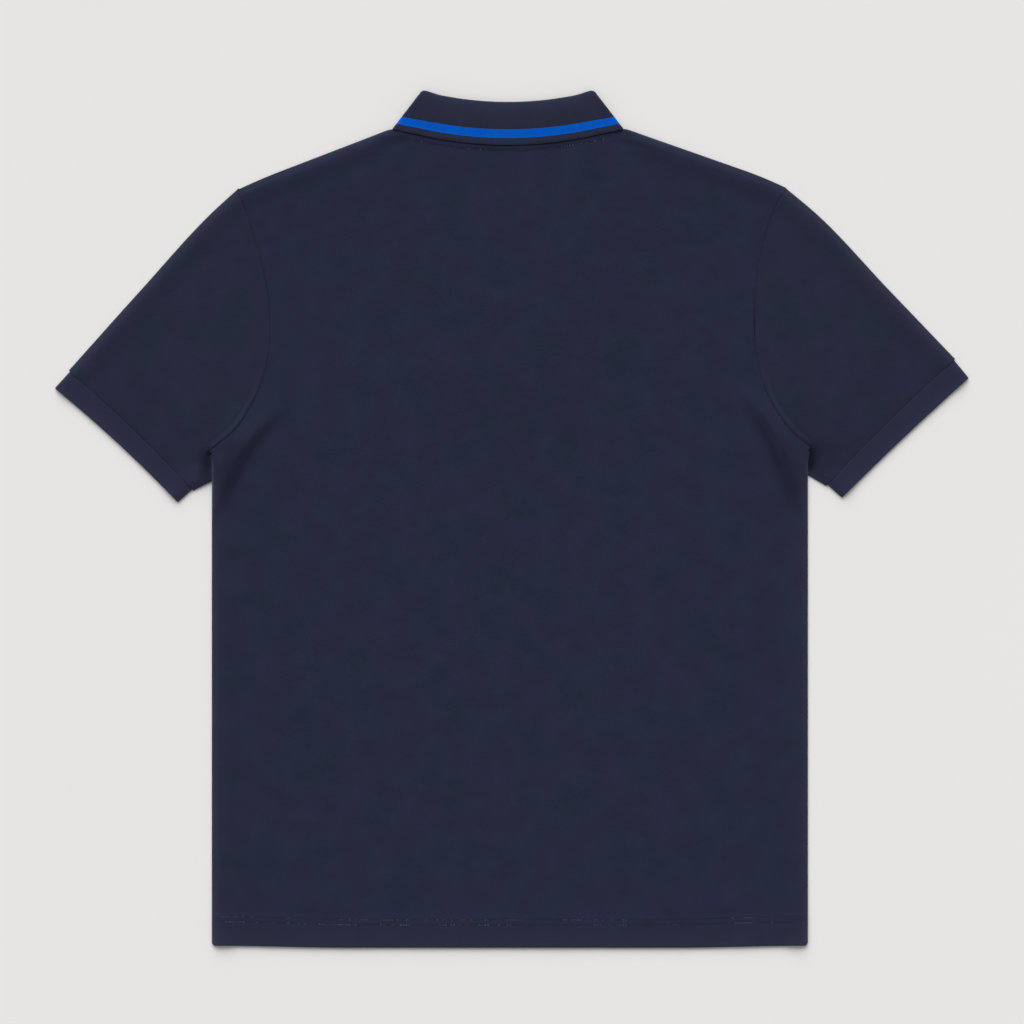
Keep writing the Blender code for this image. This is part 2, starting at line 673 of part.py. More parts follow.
def make_placket_strip(name, half_width, foot, lift, material):
    """One strip of the placket, lying along the slot and following the front panel."""
    offs = np.array((-half_width, -half_width / 2, 0.0, half_width / 2, half_width))
    shares = np.linspace(0.0, 1.0, PLACKET_ROWS)[:, None]
    x = NECK_X + np.tile(offs, (PLACKET_ROWS, 1))
    top = top_y(x, FRONT_NECK_DROP, True) - 2 * SEAM_GAP
    y = foot + shares * (top - foot)
    low = front_under(x, y) + lift
    return closed_body(name, np.stack([x, y, low], axis=-1), np.stack([x, y, low + WALL], axis=-1), material)


def make_button(name, y, material):
    """A four-hole button with a raised rim, its face down."""
    profile = ((0.0, BUTTON_DISH), (BUTTON_RADIUS - BUTTON_RIM - 0.6, BUTTON_DISH), (BUTTON_RADIUS - BUTTON_RIM, 0.0),
               (BUTTON_RADIUS - 0.5, 0.0), (BUTTON_RADIUS, 0.5), (BUTTON_RADIUS, BUTTON_THICK - 0.4),
               (BUTTON_RADIUS - 0.4, BUTTON_THICK), (0.0, BUTTON_THICK))
    shape = bmesh.new()
    corners = [shape.verts.new((radius * MM, 0.0, height * MM)) for radius, height in profile]
    edges = [shape.edges.new(pair) for pair in zip(corners, corners[1:])]
    bmesh.ops.spin(shape, geom=corners + edges, cent=(0, 0, 0), axis=(0, 0, 1), angle=2 * math.pi,
                   steps=BUTTON_STEPS, use_merge=True)
    bmesh.ops.remove_doubles(shape, verts=shape.verts, dist=1e-6)
    bmesh.ops.recalc_face_normals(shape, faces=shape.faces)
    mesh = bpy.data.meshes.new(name)
    shape.to_mesh(mesh)
    shape.free()
    button = finish(name, mesh, material, smooth_angle=30.0)
    button.location = (NECK_X * MM, y * MM, 0.0)
    holes = button_holes(f"{name}_holes")
    holes.location = button.location
    cut = button.modifiers.new("holes", "BOOLEAN")
    cut.operation = "DIFFERENCE"
    cut.solver = "EXACT"
    cut.object = holes
    return button


def button_holes(name):
    """The cutter of a button's four thread holes."""
    shape = bmesh.new()
    for dx in (-1, 1):
        for dy in (-1, 1):
            made = bmesh.ops.create_cone(shape, cap_ends=True, segments=8, radius1=BUTTON_HOLE_RADIUS * MM,
                                         radius2=BUTTON_HOLE_RADIUS * MM, depth=3 * BUTTON_THICK * MM)
            bmesh.ops.translate(shape, verts=made["verts"],
                                vec=(dx * BUTTON_HOLE_OFF * MM, dy * BUTTON_HOLE_OFF * MM, 0.0))
    mesh = bpy.data.meshes.new(name)
    shape.to_mesh(mesh)
    shape.free()
    cutter = bpy.data.objects.new(name, mesh)
    cutter.hide_render = True
    cutter.display_type = "WIRE"
    bpy.context.scene.collection.objects.link(cutter)
    return cutter


def main():
    """Builds the shirt in an empty scene."""
    for old in list(bpy.data.objects):
        bpy.data.objects.remove(old, do_unlink=True)
    pique = make_material("pique", BODY_NAVY, 0.9, sheen=0.3)
    knit = make_material("flat_knit", KNIT_NAVY, 0.9, sheen=0.3)
    resin = make_material("button_resin", BUTTON_NAVY, 0.35)
    make_panel("back_panel", True, pique)
    make_panel("front_panel", False, pique)
    for side in SIDES:
        make_sleeve(side, pique)
        make_band(side, knit)
    make_collar(knit)
    make_placket_strip("placket_upper", PLACKET_HALF, PLACKET_FOOT_Y + SEAM_GAP, 0.0, pique)
    make_placket_strip("placket_under", UNDER_PLACKET_HALF, PLACKET_FOOT_Y + 3.0, WALL + LAYER_GAP, pique)
    for number, y in enumerate(BUTTON_Y, start=1):
        make_button(f"button_{number}", y, resin)


main()
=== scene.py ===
"""Dresses a short-sleeved polo shirt that lies flat on its front with its back up.

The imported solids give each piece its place. Every piece of cloth is made again here as a thin shell with a
finer grid, its creases and seams, its knit and its stitches. Sizes are in millimetres and become metres when
a mesh is made. A side of the shirt has its own terms: "reach" is how far a point is from X = 0 towards it.
"""

import json
import logging
import math
from collections.abc import Callable, Sequence
from dataclasses import dataclass, field
from enum import Enum

import bpy
import numpy as np
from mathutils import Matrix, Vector

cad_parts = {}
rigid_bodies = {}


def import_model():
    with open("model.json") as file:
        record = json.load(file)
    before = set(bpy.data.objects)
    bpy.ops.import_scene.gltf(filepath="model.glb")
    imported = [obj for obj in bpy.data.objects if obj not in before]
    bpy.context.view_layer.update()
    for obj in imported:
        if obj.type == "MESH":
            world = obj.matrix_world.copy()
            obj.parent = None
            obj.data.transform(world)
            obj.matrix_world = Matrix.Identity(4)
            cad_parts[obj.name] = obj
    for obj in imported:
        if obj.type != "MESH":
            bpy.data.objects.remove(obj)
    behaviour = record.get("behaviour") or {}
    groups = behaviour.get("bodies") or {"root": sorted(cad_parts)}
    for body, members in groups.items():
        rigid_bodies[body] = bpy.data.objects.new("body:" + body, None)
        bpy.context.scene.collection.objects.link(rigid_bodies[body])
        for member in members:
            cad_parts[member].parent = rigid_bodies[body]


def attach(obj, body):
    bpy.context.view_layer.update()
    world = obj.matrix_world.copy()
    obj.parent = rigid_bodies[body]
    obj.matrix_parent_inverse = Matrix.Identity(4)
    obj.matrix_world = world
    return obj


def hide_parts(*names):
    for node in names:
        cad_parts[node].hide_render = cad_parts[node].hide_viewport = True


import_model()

Array = np.ndarray
Point = tuple[float, float]
Colour = tuple[float, float, float, float]
Socket = bpy.types.NodeSocket
Material = bpy.types.Material
Thing = bpy.types.Object

MM = 0.001
CLOTH_MAP = "cloth"
SEWING_MAP = "sewing"
# painted light map: a painted highlight along folded edges, and painted shade in troughs, hollows and rows of
# stitches
PAINTED_LIGHT_MAP = "wear"
STITCH_PITCH = 2.6
SEWN_REACH = 5.0

log = logging.getLogger("polo_shirt")


class Layer(Enum):
    """Which half of the laid-out shirt a panel is."""

    BACK = "back"
    FRONT = "front"


class Face(Enum):
    """Which face of a piece of cloth."""

    OUTER = "outer"
    INNER = "inner"


class RowKind(Enum):
    """What a row of a panel's grid is measured from."""

    HEM = "up from the hem's edge"
    LEVEL = "a height"
    SHARE = "a share of the way from the placket's foot to the upper edge's puff"
    TOP = "down from the upper edge"
    ROLL = "degrees round the upper edge's roll"


class Held(Enum):
    """How a piece of cloth is held, in the words of the sheet check."""

    LAID = "laid"
    FOLDED = "folded"


# Curves and grids


def smooth(value: Array | float) -> Array:
    """Steps softly from 0 at 0 to 1 at 1.

    Args:
        value: Where to read the step.

    Returns:
        The step's value, held at 0 below 0 and at 1 above 1.
    """
    value = np.clip(value, 0.0, 1.0)
    return value * value * (3.0 - 2.0 * value)


def bell(distance: Array | float, width: float) -> Array:
    """1 at no distance and falling softly to nothing over about twice the width."""
    return np.exp(-np.square(np.asarray(distance) / width))


def spline(rows: Sequence, keys: Sequence, at: Array) -> Array:
    """Reads a smooth curve through rows of values.

    Args:
        rows: The values the curve passes through, numbers or points.
        keys: Their rising places along the curve.
        at: Where to read it.

    Returns:
        The values there, one for each place.
    """
    values = np.array(rows, dtype=float)
    places = np.array(keys, dtype=float)
    slope = np.gradient(values, places, axis=0)
    at = np.clip(at, places[0], places[-1])
    index = np.clip(np.searchsorted(places, at, side="right") - 1, 0, len(places) - 2)
    span = places[index + 1] - places[index]
    t = (at - places[index]) / span
    if values.ndim > 1:
        t, span = t[..., None], span[..., None]
    rise = t * t * (3 - 2 * t)
    bend = slope[index] * t * (1 - t) ** 2 - slope[index + 1] * t * t * (1 - t)
    return values[index] * (1 - rise) + values[index + 1] * rise + span * bend


def travel_along(points: Array) -> Array:
    """How far along a line of points each one is."""
    return np.concatenate([[0.0], np.cumsum(np.linalg.norm(np.diff(points, axis=0), axis=1))])


def length_shares(points: Array) -> Array:
    """How far along a line of points each one is, as a share of its length."""
    travel = travel_along(points)
    return travel / travel[-1]


def along(points: Array, share: Array) -> Array:
    """The points at each share of the length of a line of points."""
    keys = length_shares(points)
    return np.stack([np.interp(share, keys, points[:, axis]) for axis in (0, 1)], axis=-1)


def path(points: Sequence[Point], share: Array | float) -> Array:
    """The points at each share of the length of the smooth curve through a few points."""
    line = np.array(points, dtype=float)
    return spline(line, length_shares(line), np.asarray(share, dtype=float))


def quadratic(start: Sequence, pull: Sequence, end: Sequence, share: Array | float) -> Array:
    """Reads a curve that leaves its start and arrives at its end pointing at one pull.

    Args:
        start: Where it starts.
        pull: What it bends towards.
        end: Where it ends.
        share: Where to read it, as shares of the way.

    Returns:
        The points there.
    """
    start, pull, end = (np.array(point) for point in (start, pull, end))
    share = np.asarray(share, dtype=float)[..., None]
    return (1 - share) ** 2 * start + 2 * share * (1 - share) * pull + share ** 2 * end


def distance_to_line(x: Array, y: Array, line: Array) -> tuple[Array, Array]:
    """Measures how far points are from a line of points.

    Args:
        x: The points' first coordinates.
        y: Their second coordinates.
        line: The line's points, a row each.

    Returns:
        The distance to the line's nearest place, below 0 on the right of its course, and that place's share
        of the line's length.
    """
    best = np.full(np.broadcast(x, y).shape, np.inf)
    where = np.zeros_like(best)
    keys = length_shares(line)
    for (ax, ay), (bx, by), low, high in zip(line, line[1:], keys, keys[1:]):
        dx, dy = bx - ax, by - ay
        t = np.clip(((x - ax) * dx + (y - ay) * dy) / (dx * dx + dy * dy), 0.0, 1.0)
        away = np.hypot(x - ax - t * dx, y - ay - t * dy)
        nearer = away < np.abs(best)
        best = np.where(nearer, np.where(dx * (y - ay) - dy * (x - ax) < 0, -away, away), best)
        where = np.where(nearer, low + (high - low) * t, where)
    return best, where


def steps(start: float, end: float, size: float) -> list[float]:
    """Even steps of about a size from start up to, but not including, end."""
    count = max(1, round(abs(end - start) / size))
    return [start + (end - start) * k / count for k in range(count)]


def wander(x: Array, y: Array, seed: int, pitch: float) -> Array:
    """A smooth, uneven surface between about -1 and 1 whose humps are about a pitch apart.

    Args:
        x: First coordinates.
        y: Second coordinates.
        seed: Which surface.
        pitch: The usual distance between humps.

    Returns:
        The surface's height at each point.
    """
    dice = np.random.default_rng(seed)
    total = np.zeros(np.broadcast(x, y).shape)
    waves = 7
    for _ in range(waves):
        turn = dice.uniform(0.0, math.tau)
        rate = math.tau / (pitch * dice.uniform(0.7, 1.6))
        total += np.sin((x * math.cos(turn) + y * math.sin(turn)) * rate + dice.uniform(0.0, math.tau))
    return total / math.sqrt(waves)


@dataclass(frozen=True)
class Shell:
    """A thin wall of cloth between two grids of points.

    Attributes:
        outer, inner: Rows by columns of points, in millimetres, of the face that shows and the one behind it.
        maps: Rows by columns of two values, in millimetres, for each map's name.
        wrap: Whether the last column joins the first.
        kept: Which cells are cloth, or None where all of them are.
    """

    outer: Array
    inner: Array
    maps: dict[str, Array]
    wrap: bool = False
    kept: Array | None = None

    def build(self, name: str) -> Thing:
        """Makes the closed mesh and its object.

        Args:
            name: The object's name.

        Returns:
            The object, shaded smooth, with its maps in metres.
        """
        rows, columns = self.outer.shape[:2]
        cells = columns if self.wrap else columns - 1
        kept = np.ones((rows - 1, cells), dtype=bool) if self.kept is None else self.kept
        row, cell = np.nonzero(kept)
        beside = (cell + 1) % columns
        ring = np.stack([row * columns + cell, row * columns + beside,
                         (row + 1) * columns + beside, (row + 1) * columns + cell], axis=1)
        step = rows * columns
        pairs = np.concatenate([ring[:, [k, (k + 1) % 4]] for k in range(4)])
        forward = pairs[:, 0] * step + pairs[:, 1]
        backward = pairs[:, 1] * step + pairs[:, 0]
        free = pairs[~np.isin(backward, forward)]
        rim = np.stack([free[:, 1], free[:, 0], free[:, 0] + step, free[:, 1] + step], axis=1)
        faces = np.concatenate([ring, ring[:, ::-1] + step, rim])
        used, faces = np.unique(faces, return_inverse=True)
        faces = faces.reshape(-1, 4)
        points = np.concatenate([self.outer.reshape(-1, 3), self.inner.reshape(-1, 3)])[used] * MM
        maps = {key: np.tile(grid.reshape(-1, 2), (2, 1))[used] * MM for key, grid in self.maps.items()}
        a, b, c = (points[faces[:, k]] for k in range(3))
        d = points[faces[:, 3]]
        inside = np.einsum("ij,ij->i", a + b + c + d, np.cross(c - a, d - b)).sum()
        if inside < 0:
            faces = faces[:, ::-1]
        return mesh_object(name, points, faces, maps)


def mesh_object(name: str, points: Array, faces: Array, maps: dict[str, Array] | None = None) -> Thing:
    """Makes an object from points and four-sided faces.

    Args:
        name: The object's name.
        points: Its points in metres.
        faces: Four point numbers for each face.
        maps: Two coordinates of each point in metres, for each map's name, or None.

    Returns:
        The object, in the scene.
    """
    mesh = bpy.data.meshes.new(name)
    mesh.from_pydata(points.tolist(), [], faces.tolist())
    corners = np.zeros(len(mesh.loops), dtype=np.int32)
    mesh.loops.foreach_get("vertex_index", corners)
    for key, coordinates in (maps or {}).items():
        layer = mesh.uv_layers.new(name=key)
        layer.data.foreach_set("uv", coordinates[corners].astype(np.float32).ravel())
    mesh.shade_smooth()
    mesh.set_sharp_from_angle(angle=math.radians(60.0))
    piece = bpy.data.objects.new(name, mesh)
    bpy.context.scene.collection.objects.link(piece)
    return piece


# Finishes


class NodeSheet:
    """A material's node tree, with short ways to add to it."""

    def __init__(self, name: str) -> None:
        """Starts a material that holds a Principled shader.

        Args:
            name: The material's name.
        """
        self.material = bpy.data.materials.new(name)
        self.material.use_nodes = True
        self.tree = self.material.node_tree
        self.shader = self.tree.nodes["Principled BSDF"]

    def add(self, kind: str, **settings: object) -> bpy.types.Node:
        """Adds a node and sets its options and sockets.

        Args:
            kind: The node's type name.
            settings: Options of the node, or values of its sockets, with underscores for spaces.

        Returns:
            The node.
        """
        node = self.tree.nodes.new(kind)
        for name, value in settings.items():
            socket = next((s for s in node.inputs if s.name.replace(" ", "_") == name), None)
            if socket is None:
                setattr(node, name, value)
            else:
                self.join(value, socket)
        return node

    def join(self, value: object, socket: Socket) -> None:
        """Feeds an input.

        Args:
            value: The output that it is linked to, or its plain value.
            socket: The input.
        """
        if isinstance(value, Socket):
            self.tree.links.new(value, socket)
        else:
            socket.default_value = value

    def fed(self, kind: str, source: Socket, **settings: object) -> Socket:
        """Adds a node whose first socket is fed.

        Args:
            kind: The node's type name.
            source: What its first socket takes.
            settings: Its options and the values of its other sockets.

        Returns:
            The node's first output.
        """
        node = self.add(kind, **settings)
        self.join(source, node.inputs[0])
        return node.outputs[0]

    def finish(self, **sockets: object) -> Material:
        """Joins the shader up.

        Args:
            sockets: What each of its sockets takes, with underscores for spaces.

        Returns:
            The finished material.
        """
        for name, value in sockets.items():
            self.join(value, self.shader.inputs[name.replace("_", " ")])
        return self.material

    def calc(self, kind: str, *terms: Socket | float) -> Socket:
        """Does one piece of arithmetic.

        Args:
            kind: The operation's name.
            terms: Its sockets or numbers, in order.

        Returns:
            The result's socket.
        """
        node = self.add("ShaderNodeMath", operation=kind)
        for term, socket in zip(terms, node.inputs):
            self.join(term, socket)
        return node.outputs[0]

    def times(self, value: Socket, factor: Socket | float) -> Socket:
        """A value times a factor."""
        return self.calc("MULTIPLY", value, factor)

    def onto(self, base: Socket | float, value: Socket, factor: float) -> Socket:
        """A base with a value times a factor added to it."""
        return self.calc("MULTIPLY_ADD", value, factor, base)

    def wave(self, value: Socket, pitch: float) -> Socket:
        """A cosine that repeats once in each pitch of a value."""
        return self.calc("COSINE", self.times(value, math.tau / pitch))

    def map_place(self, name: str) -> tuple[Socket, Socket, Socket]:
        """Reads one of the mesh's maps.

        Args:
            name: The map's name.

        Returns:
            Both coordinates together, the first and the second, in millimetres.
        """
        source = self.add("ShaderNodeUVMap", uv_map=name).outputs[0]
        scaled = self.fed("ShaderNodeVectorMath", source, operation="SCALE", Scale=1 / MM)
        parts = self.add("ShaderNodeSeparateXYZ", Vector=scaled)
        return scaled, parts.outputs[0], parts.outputs[1]

    def object_place(self) -> Socket:
        """The place on the object, in metres."""
        return self.add("ShaderNodeTexCoord").outputs["Object"]

    def ramp(self, value: Socket, low: float, high: float) -> Socket:
        """0 up to a low value, rising softly to 1 at a high one."""
        return self.fed("ShaderNodeMapRange", value, interpolation_type="SMOOTHSTEP", From_Min=low,
                        From_Max=high)

    def noise(self, place: Socket, scale: float, detail: float = 2.0) -> Socket:
        """A soft random value from 0 to 1 over a place."""
        return self.fed("ShaderNodeTexNoise", place, Scale=scale, Detail=detail, Roughness=0.55)

    def streaks(self, place: Socket, across: float, up: float) -> Socket:
        """Finds a soft random value that is drawn out into streaks.

        Args:
            place: Where to read it.
            across: How fast it changes across the cloth.
            up: How fast it changes along it.

        Returns:
            A value from 0 to 1.
        """
        node = self.add("ShaderNodeVectorMath", operation="MULTIPLY", Vector=place)
        node.inputs[1].default_value = (across, up, 1.0)
        return self.noise(node.outputs[0], 1.0)

    def painted_light_amount(self) -> tuple[Socket, Socket]:
        """Reads the painted highlight along folded edges, and the painted shade in hollows and crevices.

        Returns:
            The painted highlight, and the painted shade, the larger of the map's and of ambient occlusion;
            both 0 to about 1.
        """
        _, edge, dent_and_painted_shade = self.map_place(PAINTED_LIGHT_MAP)
        # painted shade: ambient occlusion darkens the colour in creases, seams and the gaps between pieces
        around = self.add("ShaderNodeAmbientOcclusion", samples=6, Distance=6.0 * MM)
        depth = self.onto(1.0, self.calc("POWER", around.outputs["AO"], 1.6), -1.0)
        return edge, self.calc("MAXIMUM", depth, dent_and_painted_shade)

    def in_shade(self, shade: Socket, depth: Socket) -> Socket:
        """A tone darkened nearly to black by the painted shade where that is deepest."""
        return self.times(shade, self.onto(1.0, depth, -0.92))

    def tight(self) -> Socket:
        """Finds how tightly a place is sewn, which comes and goes along a row.

        Returns:
            From 0, where the thread is sunk in the cloth, to 1, where it shows with its painted highlight and
            its holes are deepest, with their full painted shade.
        """
        place = self.object_place()
        single = self.calc("SUBTRACT", self.noise(place, 330.0, 0.0), 0.5)
        return self.ramp(self.onto(self.noise(place, 26.0), single, 0.8), 0.46, 0.65)

    def blend(self, share: Socket | float, low: Colour | Socket, high: Colour | Socket,
              kind: str = "MIX") -> Socket:
        """Blends two colours.

        Args:
            share: 0 for the first and 1 for the second.
            low: The first colour.
            high: The second colour.
            kind: How the second goes onto the first.

        Returns:
            The blended colour's socket.
        """
        node = self.add("ShaderNodeMix", data_type="RGBA", blend_type=kind)
        for value, number in ((share, 0), (low, 6), (high, 7)):
            self.join(value, node.inputs[number])
        return node.outputs[2]

    def dyed(self, shade: Socket, colour: Colour) -> Socket:
        """A colour at a shade: black at 0, itself at a half and twice as light at 1."""
        return self.blend(shade, (0.0, 0.0, 0.0, 1.0), tint(colour, 2.0))

    def around(self, share: Socket, colour: Colour, spread: float) -> Socket:
        """A colour that varies by a spread to either side of itself."""
        return self.blend(share, tint(colour, 1.0 - spread), tint(colour, 1.0 + spread))

    def raise_by(self, height: Socket, depth: float, below: Socket | None = None) -> Socket:
        """Makes a bump.

        Args:
            height: The relief, from 0 to 1.
            depth: How deep the relief is, in millimetres.
            below: Another bump that this one lies on, or None.

        Returns:
            The bumped normal's socket.
        """
        node = self.add("ShaderNodeBump", Strength=1.0, Distance=depth * MM, Height=height)
        if below is not None:
            self.join(below, node.inputs["Normal"])
        return node.outputs[0]


def tint(colour: Colour, factor: float) -> Colour:
    """A colour made lighter or darker."""
    return tuple(min(1.0, channel * factor) for channel in colour[:3]) + (1.0,)


@dataclass(frozen=True)
class Finish:
    """What a piece is made of; the sheen is the light that its loose fibres catch."""

    name: str
    colour: Colour
    roughness: float
    sheen: float = 0.0

    def fibres(self) -> dict[str, object]:
        """The even values of the shader of a cloth or a thread."""
        return {"Roughness": self.roughness, "Specular IOR Level": 0.05, "Sheen Weight": self.sheen,
                "Sheen Roughness": 0.5, "Sheen Tint": (0.50, 0.60, 0.88, 1.0)}


@dataclass(frozen=True)
class PiqueFinish(Finish):
    """Cotton pique: small diamond cells, a little uneven in dye and yarn.

    Attributes:
        cell_width, cell_height: Across one cell and along it, in millimetres.
        relief: How deep the cells are.
        mottle: How uneven the dye is.
        channel_shade: How much painted shade darkens the cloth along a row of stitches.
        wear: How much lighter its folded edges are painted, a painted highlight.
    """

    name: str = "navy pique"
    colour: Colour = (0.0141, 0.0171, 0.0386, 1.0)
    roughness: float = 0.88
    sheen: float = 0.35
    cell_width: float = 1.7
    cell_height: float = 1.5
    relief: float = 0.22
    mottle: float = 0.19
    channel_shade: float = 0.04
    wear: float = 0.42

    def material(self) -> Material:
        """Builds the material.

        Returns:
            The finished material.
        """
        sheet = NodeSheet(self.name)
        place, across, up = sheet.map_place(CLOTH_MAP)
        wale, course = sheet.wave(across, self.cell_width), sheet.wave(up, self.cell_height)
        cells = sheet.times(sheet.calc("ABSOLUTE", sheet.calc("SUBTRACT", wale, course)), 0.5)
        dye = sheet.noise(place, 0.045, 5.0)
        slub = sheet.streaks(place, 0.05, 0.9)
        channel, hole = self.sewn(sheet)
        # edge is a painted highlight and depth a painted shade
        edge, depth = sheet.painted_light_amount()
        shade = sheet.onto(0.92, sheet.calc("SUBTRACT", dye, 0.5), 2 * self.mottle)
        shade = sheet.onto(shade, sheet.calc("SUBTRACT", slub, 0.5), 0.10)
        # the stitched channel and the needle holes darken the colour, a painted shade; folded edges lighten
        # it, a painted highlight
        for part, weight in ((cells, 0.16), (channel, -self.channel_shade), (hole, -0.8), (edge, self.wear)):
            shade = sheet.onto(shade, part, weight)
        # painted shade: the colour falls nearly to black where depth is greatest
        body = sheet.dyed(sheet.in_shade(sheet.times(shade, 0.5), depth), self.colour)
        cool = sheet.ramp(sheet.noise(place, 0.024, 3.0), 0.3, 0.7)
        lean = sheet.blend(cool, (0.91, 1.035, 0.96, 1.0), (1.09, 0.97, 1.04, 1.0))
        # painted highlight: folded edges are also tinted warmer
        lean = sheet.blend(edge, lean, (1.14, 1.02, 0.84, 1.0))
        soft = sheet.raise_by(sheet.noise(place, 0.11), 0.5)
        hairy = sheet.raise_by(sheet.noise(place, 1.9, 3.0), 0.12, soft)
        dent_and_painted_shade = sheet.onto(sheet.times(channel, -0.15), hole, -1.0)
        bumps = sheet.raise_by(cells, self.relief, sheet.raise_by(dent_and_painted_shade, 0.4, hairy))
        body = sheet.blend(1.0, body, lean, "MULTIPLY")
        return sheet.finish(Base_Color=body, Normal=bumps, **self.fibres())

    def sewn(self, sheet: NodeSheet) -> tuple[Socket, Socket]:
        """Finds the rows of stitches through the cloth.

        Args:
            sheet: The material's nodes.

        Returns:
            How close a place is to a row, and to one of the row's needle holes, both from 0 to 1.
        """
        _, travel, close = sheet.map_place(SEWING_MAP)
        channel = sheet.ramp(close, SEWN_REACH - 1.5, SEWN_REACH - 0.2)
        near = sheet.ramp(close, SEWN_REACH - 0.8, SEWN_REACH - 0.3)
        hole = sheet.times(sheet.ramp(sheet.wave(travel, STITCH_PITCH), -0.1, 0.5), near)
        return channel, sheet.times(hole, sheet.onto(0.25, sheet.tight(), 0.75))


@dataclass(frozen=True)
class RibFinish(Finish):
    """Flat knit with fine upright ribs, and a stripe along one edge where it has one.

    Attributes:
        rib, relief: From one rib to the next, and how deep the ribs are, in millimetres.
        stripe, stripe_from, stripe_to: Its colour, or None, and where it starts and ends, up from the edge.
        wear: How much lighter its folded edges are painted, a painted highlight.
    """

    name: str = "navy flat knit"
    colour: Colour = (0.0153, 0.0181, 0.0385, 1.0)
    roughness: float = 0.86
    sheen: float = 0.35
    rib: float = 1.35
    relief: float = 0.16
    stripe: Colour | None = None
    stripe_from: float = 0.0
    stripe_to: float = 0.0
    wear: float = 0.16

    def material(self) -> Material:
        """Builds the material.

        Returns:
            The finished material.
        """
        sheet = NodeSheet(self.name)
        place, across, up = sheet.map_place(CLOTH_MAP)
        wobbly = sheet.onto(across, sheet.noise(place, 0.08), 0.5)
        rib = sheet.onto(0.5, sheet.wave(wobbly, self.rib), 0.5)
        edge, depth = sheet.painted_light_amount()
        shade = 0.36
        # painted highlight: the edge term lightens the knit along its folded edges
        for part, weight in ((sheet.noise(place, 0.06, 3.0), 0.14), (sheet.streaks(place, 0.35, 0.02), 0.10),
                             (rib, 0.04), (edge, self.wear / 2)):
            shade = sheet.onto(shade, part, weight)
        # painted shade where the knit lies deep among its neighbours
        shade = sheet.in_shade(shade, depth)
        cloth = sheet.dyed(shade, self.colour)
        if self.stripe is not None:
            line = sheet.onto(up, rib, 0.22)
            above = sheet.calc("GREATER_THAN", line, self.stripe_from)
            below = sheet.calc("LESS_THAN", line, self.stripe_to)
            cloth = sheet.blend(sheet.times(above, below), cloth, sheet.dyed(shade, self.stripe))
        hairy = sheet.raise_by(sheet.noise(place, 2.2, 3.0), 0.10)
        ribs = sheet.raise_by(rib, self.relief, hairy)
        return sheet.finish(Base_Color=cloth, Normal=ribs, **self.fibres())


@dataclass(frozen=True)
class ThreadFinish(Finish):
    """Twisted sewing thread, whose lighter colour is partly its own and partly a painted highlight of its
    glint.

    Attributes:
        sunk: Its colour where it is pulled down into the cloth.
        twist: From one turn of the twist to the next, in millimetres.
    """

    name: str = "navy thread"
    colour: Colour = (0.1400, 0.1500, 0.2450, 1.0)
    roughness: float = 0.55
    sheen: float = 0.1
    sunk: Colour = (0.0180, 0.0212, 0.0485, 1.0)
    twist: float = 0.6

    def material(self) -> Material:
        """Builds the material.

        Returns:
            The finished material.
        """
        sheet = NodeSheet(self.name)
        turns = sheet.add("ShaderNodeTexWave", bands_direction="DIAGONAL", Distortion=0.4,
                          Scale=1 / (self.twist * MM * math.tau))
        sheet.join(sheet.object_place(), turns.inputs["Vector"])
        strand = turns.outputs["Fac"]
        twisted, sunk = sheet.around(strand, self.colour, 0.2), sheet.around(strand, self.sunk, 0.1)
        # painted highlight: where the row is tight the thread takes its lighter colour
        return sheet.finish(Base_Color=sheet.blend(sheet.tight(), sunk, twisted),
                            Normal=sheet.raise_by(strand, 0.05), **self.fibres())


@dataclass(frozen=True)
class ResinFinish(Finish):
    """Cast resin of a shirt button, faintly clouded."""

    name: str = "navy button resin"
    colour: Colour = (0.0130, 0.0162, 0.0340, 1.0)
    roughness: float = 0.32

    def material(self) -> Material:
        """Builds the material.

        Returns:
            The finished material.
        """
        sheet = NodeSheet(self.name)
        place = sheet.object_place()
        cloud = sheet.noise(place, 260.0, 4.0)
        rough = sheet.onto(self.roughness - 0.08, sheet.noise(place, 900.0, 3.0), 0.16)
        body = sheet.blend(cloud, tint(self.colour, 0.7), tint(self.colour, 1.5))
        return sheet.finish(Roughness=rough, Base_Color=body, Normal=sheet.raise_by(cloud, 0.03),
                            Coat_Weight=0.3, Coat_Roughness=0.15)


@dataclass(frozen=True)
class PaperFinish(Finish):
    """The studio's pale seamless paper."""

    name: str = "pale paper"
    colour: Colour = (0.7365, 0.7235, 0.7105, 1.0)
    roughness: float = 0.95

    def material(self) -> Material:
        """Builds the material.

        Returns:
            The finished material.
        """
        sheet = NodeSheet(self.name)
        grain = sheet.noise(sheet.object_place(), 3.0, 3.0)
        return sheet.finish(Base_Color=sheet.around(grain, self.colour, 0.008), Roughness=self.roughness,
                            Specular_IOR_Level=0.1)


# The shirt's sizes


@dataclass(frozen=True)
class Fold:
    """A soft ridge, or a trough where its height is below 0, over a curve past three (reach, Y) points.

    Attributes:
        start, middle, end: Where it fades in, a point it passes and where it runs out.
        width: How far it takes to fall away on the left of its course.
        height: How high it is.
        right_width: How far it takes on the right, or the same where it is None.
    """

    start: Point
    middle: Point
    end: Point
    width: float
    height: float
    right_width: float | None = None

    def lift(self, reach: Array, y: Array) -> Array:
        """How far it lifts the cloth at each point.

        Args:
            reach: The points' reach.
            y: Their Y.

        Returns:
            The lift in millimetres.
        """
        start, middle, end = (np.array(p, dtype=float) for p in (self.start, self.middle, self.end))
        line = quadratic(start, 2 * middle - (start + end) / 2, end, np.linspace(0.0, 1.0, 17))
        away, share = distance_to_line(reach, y, line)
        taper = smooth(share * 3.0) * smooth((1.0 - share) * 3.0)
        width = np.where(away < 0, self.right_width or self.width, self.width)
        return self.height * taper * bell(away, width)


